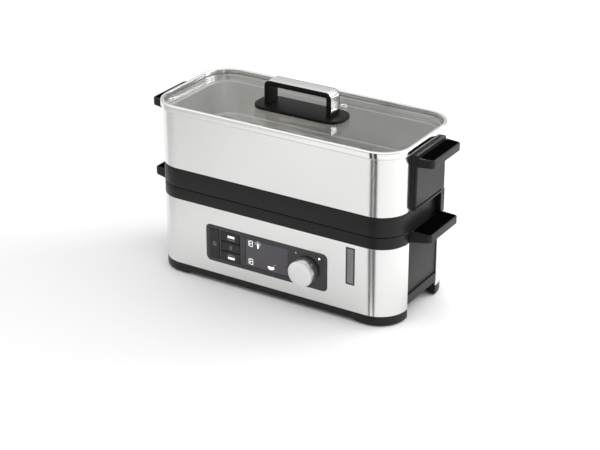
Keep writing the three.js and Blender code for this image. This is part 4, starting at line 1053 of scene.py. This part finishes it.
class STEAMER_OT_panel(bpy.types.Operator):
    """Gloss front plate of the controls with its pockets and holes, and the two indicator lamps"""

    bl_idname = "steamer.panel"
    bl_label = "Panel plate"

    def execute(self, context):
        low, high = extent("panel_fascia")
        x, z = front_middle(low, high)
        front = low.y - FRONT
        back = front + 4.5
        levels = [(0.5, front), (0.15, front + 0.12), (0, front + 0.5), (0, back - 0.3), (0.3, back)]
        plate = slab("panel_plate", high.x - low.x, high.z - low.z, 6, levels, x, z, 12, upright)
        through = [(0, front - 2), (0, back + 2)]
        tools = []
        block_low, block_high = extent("power_key")
        zone_low, _ = extent("lower_zone_key")
        _, zone_high = extent("upper_zone_key")
        for a, b in ((block_low, block_high), (zone_low, zone_high)):
            tools.append(slab("key opening", b.x - a.x + 0.7, b.z - a.z + 0.7, 1.1, through,
                (a.x + b.x) / 2, (a.z + b.z) / 2, 4, upright))
        lens_low, lens_high = extent("display_lens")
        lens = ((lens_low + lens_high) / 2).x, ((lens_low + lens_high) / 2).z
        size = lens_high.x - lens_low.x, lens_high.z - lens_low.z
        tools.append(slab("light well", size[0] - 4, size[1] - 4, 1, through, *lens, 4, upright))
        for node in ("indicator_left", "indicator_right", "encoder_shaft"):
            spot_low, spot_high = extent(node)
            radius = (spot_high.x - spot_low.x) / 2 + (1 if node == "encoder_shaft" else 0.3)
            spot = (spot_low + spot_high) / 2
            tools.append(lathe("hole", [(0, front - 2), (radius, front - 2), (radius, back + 2),
                (0, back + 2)], spot.x, spot.z, 0, 32, upright))
        cut(plate, joined(tools))
        seat = slab("lens seat", size[0] + 0.6, size[1] + 0.6, 1.3,
            [(0, front - 2), (0, lens_high.y - FRONT + 0.3)], *lens, 4, upright)
        cut(plate, seat)
        fit(plate, "base", finish("panel_gloss"), ["panel_fascia"])
        band = slab("panel_divider", 7, lens_high.z - lens_low.z, 0.3,
            [(0, front - 0.03), (0, front + 0.2)], lens_low.x - 3.8, z, 3, upright)
        fit(band, "base", finish("panel_band"))
        for name in ("left", "right"):
            node = "indicator_" + name
            low, high = extent(node)
            spot = (low + high) / 2
            face = low.y - FRONT
            profile = [(0, face), (0.7, face + 0.05), (1.15, face + 0.25), (1.3, face + 0.6), (1.3, 4),
                (0, 4)]
            lamp = lathe(node + "_lamp", profile, spot.x, spot.z, 0, 32, upright)
            # The unlit left lamp takes the dim symbols' finish, with its painted glow.
            fit(lamp, "base", finish("symbol_lit" if name == "right" else "symbol_dim_painted_glow"),
                [node])
        return {"FINISHED"}


class STEAMER_OT_keys(bpy.types.Operator):
    """The four keys with their raised symbols"""

    bl_idname = "steamer.keys"
    bl_label = "Keys and symbols"

    def execute(self, context):
        edge = context.scene.steamer_shapes.key_edge / MM
        for node in ("power_key", "upper_zone_key", "egg_key", "lower_zone_key"):
            low, high = extent(node)
            x, z = front_middle(low, high)
            front, back = low.y - FRONT, high.y - FRONT
            dish = 0.16
            width, height = high.x - low.x - 0.3, high.z - low.z - 0.3
            levels = [(3.2, front + dish), (1.6, front + dish * 0.6), (edge, front)]
            levels += [(edge * (1 - math.sin(a)), front + edge * (1 - math.cos(a))) for a in quarter(3)][1:]
            levels += [(0, back - 0.3), (0.3, back)]
            cap = slab(node + "_cap", width, height, 1.0, levels, x, z, 4, upright)
            fit(cap, node, finish("panel_keys"), [node])
            self.symbol(node, x, z, front)
        return {"FINISHED"}

    def symbol(self, node, x, z, front):
        depth = (front - 0.03, front + 0.35)
        if node == "power_key":
            ring = arc_strip("power_ring", x, z, 2.3, 0.45, 125, 290, depth)
            fit(ring, node, finish("symbol_dim_painted_glow"))
            bar = strip("power_bar", x, z + 1.9, 0.45, 2.4, depth)
            fit(bar, node, finish("symbol_dim_painted_glow"))
        elif node == "egg_key":
            egg = oval("egg_symbol", x + 0.4, z, 1.75, 2.3, depth)
            fit(egg, node, finish("symbol_dim_painted_glow"))
        else:
            upper = node == "upper_zone_key"
            spot = x + 0.9
            full = z + (1.2 if upper else -1.6)
            empty = z + (-1.6 if upper else 1.2)
            lit_half = slab(node + "_full_tray", 9.0, 2.5, 0.4, [(0, depth[0]), (0, depth[1])], spot,
                full, 5, upright)
            fit(lit_half, node, finish("symbol_lit"))
            outline = tray_outline(node + "_empty_tray", spot, empty, 9.0, 2.5, upper, depth)
            fit(outline, node, finish("symbol_dim_painted_glow"))


def strip(name, x, z, width, height, depth):
    """A raised bar on the front, width along X and height up."""
    return slab(name, width, height, min(width, height) * 0.3, [(0, depth[0]), (0, depth[1])], x, z, 3,
        upright)


def oval(name, x, z, a, b, depth, width=0.45, steps=40):
    """A raised egg-shaped outline, wider at its foot."""
    path = []
    for i in range(steps):
        t = 2 * math.pi * i / steps
        c, s = math.cos(t), math.sin(t)
        path.append((x + a * c * (1 - 0.16 * s), z + b * s, c, s))
    return sweep(name, path, [(0, depth[0]), (width, depth[0]), (width, depth[1]), (0, depth[1])], True,
        upright)


def arc_strip(name, x, z, radius, width, start, sweep_angle, depth):
    path = turn(x, z, radius, start, 28, sweep_angle)
    return sweep(name, path, [(0, depth[0]), (width, depth[0]), (width, depth[1]), (0, depth[1])], False,
        upright)


def tray_outline(name, x, z, width, height, open_up, depth, line=0.5):
    """A raised open outline of a tray, its mouth up or down."""
    a, b, r = width / 2, height / 2, 0.6
    if open_up:
        path = [(x - a, z + b, -1, 0), *turn(x - a + r, z - b + r, r, 180, 4),
            *turn(x + a - r, z - b + r, r, 270, 4), (x + a, z + b, 1, 0)]
    else:
        path = [(x + a, z - b, 1, 0), *turn(x + a - r, z + b - r, r, 0, 4),
            *turn(x - a + r, z + b - r, r, 90, 4), (x - a, z - b, -1, 0)]
    return sweep(name, path, [(0, depth[0]), (line, depth[0]), (line, depth[1]), (0, depth[1])], False,
        upright)


class STEAMER_OT_display(bpy.types.Operator):
    """Display window with its lit minutes and programme symbols"""

    bl_idname = "steamer.display"
    bl_label = "Display"

    SEGMENTS = {"1": "bc", "8": "abcdefg"}

    def execute(self, context):
        low, high = extent("display_lens")
        x, z = front_middle(low, high)
        front, back = low.y - FRONT, high.y - FRONT
        levels = [(0.35, front), (0.1, front + 0.08), (0, front + 0.3), (0, back - 0.2), (0.2, back)]
        lens = slab("display_window", high.x - low.x, high.z - low.z, 1.2, levels, x, z, 6, upright)
        fit(lens, "base", finish("display_face"), ["display_lens"])
        depth = (front - 0.04, front + 0.3)
        left = low.x
        for name, level in (("upper", 63.3), ("lower", 40.3)):
            bars = self.digit("1", left + 2.6, level, 3.8, 6.9, depth) + self.digit("8", left + 7.8,
                level, 3.9, 6.9, depth)
            fit(joined(bars), "base", finish("symbol_lit")).name = f"display_{name}_minutes"
        self.leaf(left + 17.0, 63.6, depth)
        self.cup(left + 34.6, 38.9, depth)
        return {"FINISHED"}

    def digit(self, figure, x, z, width, height, depth):
        """Seven-segment bars of one figure."""
        a, b, t = width / 2, height / 2, 0.55
        long = b - t * 0.55
        places = {
            "a": (x, z + b, width - t, t), "g": (x, z, width - t, t), "d": (x, z - b, width - t, t),
            "f": (x - a, z + b / 2, t, long), "b": (x + a, z + b / 2, t, long),
            "e": (x - a, z - b / 2, t, long), "c": (x + a, z - b / 2, t, long),
        }
        return [strip("segment", *places[s], depth) for s in self.SEGMENTS[figure]]

    def leaf(self, x, z, depth):
        """A sprig: three round florets on a short stem."""
        parts = [round_dot(x - 2.3, z + 1.6, 1.9, depth), round_dot(x + 2.3, z + 1.3, 1.8, depth),
            round_dot(x, z + 3.0, 1.9, depth)]
        fit(merged(parts), "base", finish("symbol_dim_painted_glow")).name = "display_sprig_crown"
        stem = skin("display_sprig_stem",
            [[upright(x + u, z + v, w) for u,
            v in ((-0.9, 1.2), (0.9, 1.2), (1.5, -1.6), (0.5, -4.4), (-0.7, -4.2))] for w in depth])
        fit(stem, "base", finish("symbol_lit"))

    def cup(self, x, z, depth):
        """A shallow dish with a spoon."""
        rim = [(-4.4, 1.7), (4.4, 1.7)]
        arc = [(4.4 * math.cos(a), 1.7 - 3.9 * math.sin(a) ** 0.8)
            for a in [math.pi * i / 12 for i in range(1, 12)]]
        dish = skin("display_dish", [[upright(x + u, z + v, w) for u,
            v in [rim[0], *reversed(arc), rim[1]]] for w in depth])
        fit(dish, "base", finish("symbol_lit"))
        handle = [(1.6, 2.3), (2.2, 2.1), (6.0, 4.8), (6.6, 5.9), (5.7, 5.8)]
        spoon = skin("display_spoon", [[upright(x + u, z + v, w) for u, v in handle] for w in depth])
        fit(spoon, "base", finish("symbol_dim_painted_glow"))


def round_dot(x, z, radius, depth):
    return lathe("dot", [(0, depth[0]), (radius, depth[0]), (radius, depth[1]), (0, depth[1])], x, z, 0,
        24, upright)


def merged(parts):
    """Shapes that overlap, as one closed object."""
    return add(parts[0], *parts[1:])


class STEAMER_OT_knob(bpy.types.Operator):
    """Steel knob: polished side, turned face and an eased edge"""

    bl_idname = "steamer.knob"
    bl_label = "Knob"

    def execute(self, context):
        low, high = extent("knob_shell")
        x, z = front_middle(low, high)
        radius = (high.x - low.x) / 2
        front, back = low.y - FRONT, high.y - FRONT
        face = front + 0.02
        seam = radius - 1.0
        side = [(seam, face + 0.0), (radius - 0.55, face + 0.06), (radius - 0.16, face + 0.3),
            (radius, face + 0.8),
                (radius, back - 0.4), (radius - 0.3, back), (radius - 1.1, back),
                (radius - 1.1, front + 1.1), (seam - 0.01, front + 1.1)]
        ring = lathe("knob_side", side, x, z, 0, 96, upright)
        fit(ring, "knob", finish("steel_knob"), ["knob_shell"], 0, 40)
        cap_profile = [(0, face + 0.05), (seam * 0.5, face + 0.045), (seam - 0.35, face + 0.02),
            (seam - 0.04, face + 0.12),
                       (seam - 0.04, front + 1.1), (0, front + 1.1)]
        cap = lathe("knob_face", cap_profile, x, z, 0, 96, upright)
        fit(cap, "knob", finish("steel_turned"))
        return {"FINISHED"}


class STEAMER_OT_window(bpy.types.Operator):
    """Water level window: black frame, frosted lens and the float with its line"""

    bl_idname = "steamer.window"
    bl_label = "Water window"

    def execute(self, context):
        width_of_frame = context.scene.steamer_shapes.window_frame / MM
        x, z, width, height = window_place()
        outer = rectangle(width + 0.7, height + 0.7, 0.8, 4, x, z)
        w = width_of_frame + 0.35
        profile = rounded([(0, -0.04, 0), (0, -0.3, 0.15), (w, -0.3, 0.15), (w, -0.04, 0)], 2)
        bezel = sweep("window_frame", outer, profile, True, upright)
        fit(bezel, "base", finish("panel_gloss"))
        low, high = extent("sight_glass")
        half = (high.x - low.x) / 2
        lens = slab("window_lens", width - 0.6, height - 0.6, 0.5, [(0, 0.0), (0, 2.6)], x, z, 3, upright)
        chamber = slab("chamber", 2 * half, high.z - low.z, 0.8, [(0, 1.3), (0, 10.3)], x, z, 3, upright)
        add(lens, chamber)
        channel = slab("channel", 2 * half - 3.4, 5.6, 0.8, [(0, low.z + 1.7), (0, high.z + 2)], x,
            FRONT + 5.8, 3)
        port = block("port", (x - half + 2.7, FRONT + 7.5, low.z + 1.7),
            (x + half - 2.7, FRONT + 12, low.z + 6.2))
        cut(lens, channel, port)
        fit(lens, "base", finish("window_lens"), ["sight_glass"])
        low, high = extent("level_float")
        spot = (low + high) / 2
        levels = eased(low.z, high.z, 0.7)
        levels[4:4] = [(0, spot.z - 0.9), (0.35, spot.z - 0.6), (0.35, spot.z + 0.6), (0, spot.z + 0.9)]
        bob = slab("float_body", high.x - low.x, high.y - low.y, 1.5, levels, spot.x, spot.y, 5)
        fit(bob, "level_float", finish("plastic_ivory"), ["level_float"])
        return {"FINISHED"}


# ------------------------------------------------------------------ lid


class STEAMER_OT_lid(bpy.types.Operator):
    """Lid: polished frame, tempered glass, silicone seal and steam eyelet"""

    bl_idname = "steamer.lid"
    bl_label = "Lid"

    def execute(self, context):
        low, high = extent("lid_frame")
        glass_low, glass_high = extent("lid_glass")
        soft = context.scene.steamer_shapes.lid_rim_edge / MM
        top, bottom, reach = high.z, low.z, low.x + END
        profile = rounded(
            [(reach, bottom, 0.4), (reach, top, soft), (2.2, top, 0.9), (2.2, glass_high.z + 0.3, 0.2),
             (0.4, glass_high.z + 0.3, 0), (0.4, bottom, 0.3)], 5,
        )
        ring = sweep("lid_ring", body_outline(24), profile)
        fit(ring, "lid", finish("steel_bright"), ["lid_frame"])
        inset = glass_low.x + END
        pane = outline_slab("lid_pane", inset, eased(glass_low.z, glass_high.z, 0.7), 24)
        holes = []
        for i in (1, 2):
            a, b = extent(f"lid_screw_{i}")
            spot = (a + b) / 2
            holes.append(lathe("hole", [(0, glass_low.z - 2), (1.8, glass_low.z - 2),
                (1.8, glass_high.z + 2), (0, glass_high.z + 2)], spot.x, spot.y, 0, 24))
        a, b = extent("vent_eyelet")
        spot = (a + b) / 2
        holes.append(lathe("hole", [(0, glass_low.z - 2), (3.4, glass_low.z - 2), (3.4, glass_high.z + 2),
            (0, glass_high.z + 2)], spot.x, spot.y, 0, 32))
        cut(pane, joined(holes))
        fit(pane, "lid", finish("glass_clear"), ["lid_glass"])
        seal_low, seal_high = extent("lid_seal")
        a = seal_low.x + END
        seal = sweep("seal_ring", body_outline(24),
            rounded([(a, seal_low.z, 0.5), (a, seal_high.z, 0.15), (a + 2.5, seal_high.z, 0.15),
            (a + 2.5, seal_low.z, 0.5)]))
        fit(seal, "lid", finish("seal_clear"), ["lid_seal"])
        a, b = extent("vent_eyelet")
        top = b.z
        profile = rounded([(2.1, a.z, 0.3), (3.1, a.z, 0.3), (3.1, top - 1, 0), (4.4, top - 1, 0.3),
            (4.4, top, 0.6), (2.1, top, 0.9)])
        eyelet = lathe("steam_eyelet", profile, spot.x, spot.y, 0, 40)
        fit(eyelet, "lid", finish("steel_bright"), ["vent_eyelet"])
        return {"FINISHED"}


class STEAMER_OT_lid_handle(bpy.types.Operator):
    """Lid handle: plate, arched strap with its steel trim, and the screws under the glass"""

    bl_idname = "steamer.lid_handle"
    bl_label = "Lid handle"

    def execute(self, context):
        low, high = extent("handle_plate")
        levels = eased(low.z, high.z, 1.3, 4, 0.3)
        plate = slab("grip_plate", high.x - low.x, high.y - low.y, 17, levels, 0, MIDDLE, 14)
        fit(plate, "lid", finish("plastic_lid"), ["handle_plate"])
        bridge_low, bridge_high = extent("handle_bridge")
        trim_low, trim_high = extent("handle_trim")
        half, top = bridge_high.x, bridge_high.z
        foot, trim_foot = bridge_low.z, trim_low.z - 0.3
        radius, strap = 7.0, 6.0
        arc_right = turn(half - radius, top - radius, radius, 0, 12)
        arc_left = turn(-half + radius, top - radius, radius, 90, 12)
        width = (bridge_high.y - bridge_low.y) / 2
        bed = (trim_high.y - trim_low.y) / 2 + 0.3
        shoulders = [(half, foot, 1, 0), (half, trim_foot, 1, 0)], [(-half, trim_foot, -1, 0),
            (-half, foot, -1, 0)]
        path = [*shoulders[0], (half, trim_foot + 0.02, 1, 0), *arc_right, *arc_left,
            (-half, trim_foot + 0.02, -1, 0), *shoulders[1]]
        rings = []
        for i, (x, z, nx, nz) in enumerate(path):
            groove = 1.2 if 2 <= i < len(path) - 2 else 0.0
            rings.append([(x - nx * d, MIDDLE + w, z - nz * d) for w,
                d in strap_section(width, strap, bed, groove)])
        bridge = skin("grip_strap", rings)
        fit(bridge, "lid", finish("plastic_lid"), ["handle_bridge"])
        trim_path = [(half, trim_foot + 0.3, 1, 0), *arc_right, *arc_left, (-half, trim_foot + 0.3, -1, 0)]
        thin, w = 0.9, (trim_high.y - trim_low.y) / 2
        section = rounded([(-w, 0, 0.3), (w, 0, 0.3), (w, thin, 0.1), (-w, thin, 0.1)])
        rings = [[(x - nx * d, MIDDLE + a, z - nz * d) for a, d in section] for x, z, nx, nz in trim_path]
        trim = skin("strap_trim", rings)
        fit(trim, "lid", finish("steel_bright"), ["handle_trim"])
        for i in (1, 2):
            a, b = extent(f"lid_screw_{i}")
            spot = (a + b) / 2
            profile = [(0, a.z + 0.7), (1.2, a.z + 0.7), (1.2, a.z), (3.9, a.z + 0.1), (4.7, a.z + 0.8),
                (5, a.z + 2.1), (5, a.z + 2.4),
                       (1.5, a.z + 2.4), (1.5, b.z - 0.5), (1.0, b.z), (0, b.z)]
            screw = lathe(f"pan_head_screw_{i}", profile, spot.x, spot.y, 0, 36)
            fit(screw, "lid", finish("steel_bright"), [f"lid_screw_{i}"])
        return {"FINISHED"}


def strap_section(width, strap, bed, groove, soft=1.3, steps=4):
    """Section of the lid handle's strap as (across, depth) points, with a bed for the trim on its outside."""
    points = [(-bed, 0.0), (-bed, groove), (bed, groove), (bed, 0.0)]
    points += [(width - soft + soft * math.sin(a), soft * (1 - math.cos(a))) for a in quarter(steps)]
    points += [(width - soft + soft * math.cos(a), strap - soft + soft * math.sin(a))
        for a in quarter(steps)]
    points += [(-width + soft - soft * math.sin(a), strap - soft + soft * math.cos(a))
        for a in quarter(steps)]
    points += [(-width + soft - soft * math.cos(a), soft * (1 - math.sin(a))) for a in quarter(steps)]
    return points


# ------------------------------------------------------------------ pieces kept from the frame


KEPT = {
    "bottom_cover": ("plastic_grey", 0.4), "chassis": ("plastic_grey", 0.0),
    "side_panel_right": ("plastic_satin", 0.6), "side_panel_left": ("plastic_satin", 0.6),
    "bracket_right": ("plastic_satin", 0.7), "bracket_left": ("plastic_satin", 0.7),
    "cord_gland": ("plastic_grey", 0.5), "water_tank": ("steel_liner", 0.3),
    "steam_ring": ("steel_liner", 0.3),
    "heater_plate": ("cast_aluminium", 0.4), "heater_gasket": ("seal_rubber", 0.3),
    "heating_element": ("zinc", 0.0), "thermostat": ("zinc", 0.3), "power_board": ("board", 0.2),
    "relay": ("plastic_grey", 0.5), "transformer": ("plastic_grey", 0.6), "control_board": ("board", 0.2),
    "display_module": ("plastic_grey", 0.3), "encoder_body": ("zinc", 0.3),
    "encoder_plunger": ("zinc", 0.2),
    "encoder_shaft": ("zinc", 0.3), "knob_core": ("plastic_grey", 0.3),
    "cover_screw_1": ("zinc", 0.2), "cover_screw_2": ("zinc", 0.2), "cover_screw_3": ("zinc", 0.2),
    "cover_screw_4": ("zinc", 0.2),
}


class STEAMER_OT_kept(bpy.types.Operator):
    """Finishes and eased edges for the pieces kept as the frame has them"""

    bl_idname = "steamer.kept"
    bl_label = "Inner pieces"

    def execute(self, context):
        for name, (finish_name, edge) in KEPT.items():
            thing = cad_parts[name]
            thing.data.materials.clear()
            thing.data.materials.append(finish(finish_name))
            thing.data.polygons.foreach_set("use_smooth", [True] * len(thing.data.polygons))
            weld = thing.modifiers.new("weld", "WELD")
            weld.merge_threshold = 0.00002
            tidy = thing.modifiers.new("flats", "DECIMATE")
            tidy.decimate_type, tidy.angle_limit = "DISSOLVE", math.radians(0.6)
            if edge:
                soften = thing.modifiers.new("edge", "BEVEL")
                soften.width, soften.segments, soften.limit_method = edge * MM, 3, "ANGLE"
                soften.angle_limit = math.radians(40)
                soften.harden_normals = True
            else:
                thing.modifiers.new("shading", "WEIGHTED_NORMAL").keep_sharp = True
        return {"FINISHED"}


# ------------------------------------------------------------------ studio


class STEAMER_OT_studio(bpy.types.Operator):
    """Pale floor, soft dome, lights, reflection cards and the camera"""

    bl_idname = "steamer.studio"
    bl_label = "Studio"

    def execute(self, context):
        p = context.scene.steamer_studio
        context.scene.view_settings.view_transform = "Standard"
        context.scene.view_settings.look = "None"
        self.floor(p)
        self.dome(context.scene, p)
        self.lamp("side_light", (2.2, 0.9, 0.9), (1.6, 1.6), p.side_power, (0.1, 0.0, 0.1))
        self.lamp("floor_light", (0.75, 0.85, 0.75), (0.5, 0.5), FLOOR_LIGHT_POWER, (0.5, 0.45, 0.0))
        self.cards()
        self.camera(context.scene, p)
        return {"FINISHED"}

    def floor(self, p):
        size = p.floor_size / MM
        ground = skin("studio_floor", [[(-size / 2, -size / 2, 0), (size / 2, -size / 2, 0)],
            [(-size / 2, size / 2, 0), (size / 2, size / 2, 0)]], caps=False)
        made = Finish("floor_paint", Specular_IOR_Level=0.2)
        mottle = made.noise(3, 3)
        made.set("Base Color", made.blend(mottle, tint(p.floor_colour, 0.995), p.floor_colour))
        made.set("Roughness", 0.55 + mottle * 0.05)
        ground.data.materials.append(made.material)

    def dome(self, scene, p):
        """A sky that brightens with height."""
        world = bpy.data.worlds.new("studio_dome")
        world.use_nodes = True
        tree = world.node_tree
        tree.nodes.clear()
        spot = tree.nodes.new("ShaderNodeTexCoord")
        parts = tree.nodes.new("ShaderNodeSeparateXYZ")
        ramp = tree.nodes.new("ShaderNodeMapRange")
        ramp.interpolation_type = "SMOOTHSTEP"
        for socket, value in zip(("From Min", "From Max", "To Min", "To Max"),
                (0.3, 0.8, p.dome_low, p.dome_high)):
            ramp.inputs[socket].default_value = value
        sky = tree.nodes.new("ShaderNodeBackground")
        out = tree.nodes.new("ShaderNodeOutputWorld")
        tree.links.new(spot.outputs["Generated"], parts.inputs[0])
        tree.links.new(parts.outputs["Z"], ramp.inputs["Value"])
        tree.links.new(ramp.outputs[0], sky.inputs["Strength"])
        tree.links.new(sky.outputs[0], out.inputs[0])
        scene.world = world

    def lamp(self, name, spot, size, power, target):
        data = bpy.data.lights.new(name, "AREA")
        data.shape, data.size, data.size_y, data.energy = "RECTANGLE", *size, power
        thing = bpy.data.objects.new(name, data)
        thing.location = spot
        thing.rotation_euler = (Vector(target) - Vector(spot)).to_track_quat("-Z", "Y").to_euler()
        bpy.context.scene.collection.objects.link(thing)
        return thing

    def cards(self):
        """Cards that only show in reflections: two dark ones, and a pale one that fades in to the left."""
        near, far = FRONT - 5, FRONT - 250
        for name, foot, x, half in (("first", 129.5, 76.0, 27.5), ("second", 137.0, 150.0, 30.0)):
            rings = [
                [(foot - 0.5, near, 2), (foot + 0.5, near, 2)],
                [(x - half, far, 2), (x + half, far, 2)],
                [(x - half, far, 330), (x + half, far, 330)],
            ]
            made = Finish("card_paint", Base_Color=(0.02, 0.02, 0.02), Roughness=0.9)
            self.unseen(skin("studio_card_" + name, rings, caps=False), made)
        rings = [[(-1500, y, 1), (60, y, 1)] for y in (near, FRONT - 1600)]
        made = Finish("fading_card_paint", Base_Color=(0.5, 0.5, 0.5), Roughness=0.9)
        parts = made.node("ShaderNodeSeparateXYZ", None, {0: made.place((1, 1, 1))})
        fade = made.node("ShaderNodeMapRange", {"interpolation_type": "SMOOTHSTEP"},
                         {"Value": parts, "From Min": -0.12, "From Max": -0.62, "To Max": 0.9})
        through = made.node("ShaderNodeBsdfTransparent")
        mixed = made.node("ShaderNodeMixShader", None,
            {0: fade, 1: through, 2: Value(made, made.shader.outputs[0])})
        made.link(mixed, made.output.inputs["Surface"])
        self.unseen(skin("studio_card_left", rings, caps=False), made)

    def unseen(self, card, made):
        card.data.materials.append(made.material)
        card.visible_camera = card.visible_diffuse = card.visible_shadow = False

    def camera(self, scene, p):
        data = bpy.data.cameras.new("studio_camera")
        data.lens, data.sensor_width, data.shift_x = p.lens, 36.0, -0.0028
        data.clip_start, data.clip_end = 0.05, 60
        thing = bpy.data.objects.new("studio_camera", data)
        thing.location = Vector((915.4, MIDDLE - 1490.8, 888.25)) * MM
        aim = Vector((0, MIDDLE, 64.4)) * MM
        thing.rotation_euler = (aim - thing.location).to_track_quat("-Z", "Y").to_euler()
        scene.collection.objects.link(thing)
        scene.camera = thing


# ------------------------------------------------------------------ panel and registration


OPERATORS = (
    STEAMER_OT_studio, STEAMER_OT_pan, STEAMER_OT_sleeves, STEAMER_OT_rim, STEAMER_OT_tray, STEAMER_OT_bowl,
    STEAMER_OT_bowl_handles, STEAMER_OT_inserts, STEAMER_OT_panel, STEAMER_OT_keys, STEAMER_OT_display,
    STEAMER_OT_knob, STEAMER_OT_window, STEAMER_OT_lid, STEAMER_OT_lid_handle, STEAMER_OT_kept,
)
GROUPS = (("steamer_finishes", SteamerFinishes), ("steamer_shapes", SteamerShapes),
    ("steamer_studio", SteamerStudio))


class STEAMER_PT_sidebar(bpy.types.Panel):
    """Settings and build steps of the steamer"""

    bl_label = "Egg cooker and steamer"
    bl_idname = "STEAMER_PT_sidebar"
    bl_space_type = "VIEW_3D"
    bl_region_type = "UI"
    bl_category = "Steamer"

    def draw(self, context):
        for name, group in GROUPS:
            box = self.layout.box()
            for setting in group.__annotations__:
                box.prop(getattr(context.scene, name), setting)
        for operator in OPERATORS:
            self.layout.operator(operator.bl_idname)


def register():
    for name, group in GROUPS:
        bpy.utils.register_class(group)
        setattr(bpy.types.Scene, name, bpy.props.PointerProperty(type=group))
    for made in (*OPERATORS, STEAMER_PT_sidebar):
        bpy.utils.register_class(made)


def unregister():
    for made in reversed((*OPERATORS, STEAMER_PT_sidebar)):
        bpy.utils.unregister_class(made)
    for name, group in reversed(GROUPS):
        delattr(bpy.types.Scene, name)
        bpy.utils.unregister_class(group)


def main():
    register()
    for operator in OPERATORS:
        group, name = operator.bl_idname.split(".")
        getattr(getattr(bpy.ops, group), name)()


if __name__ == "__main__":
    main()
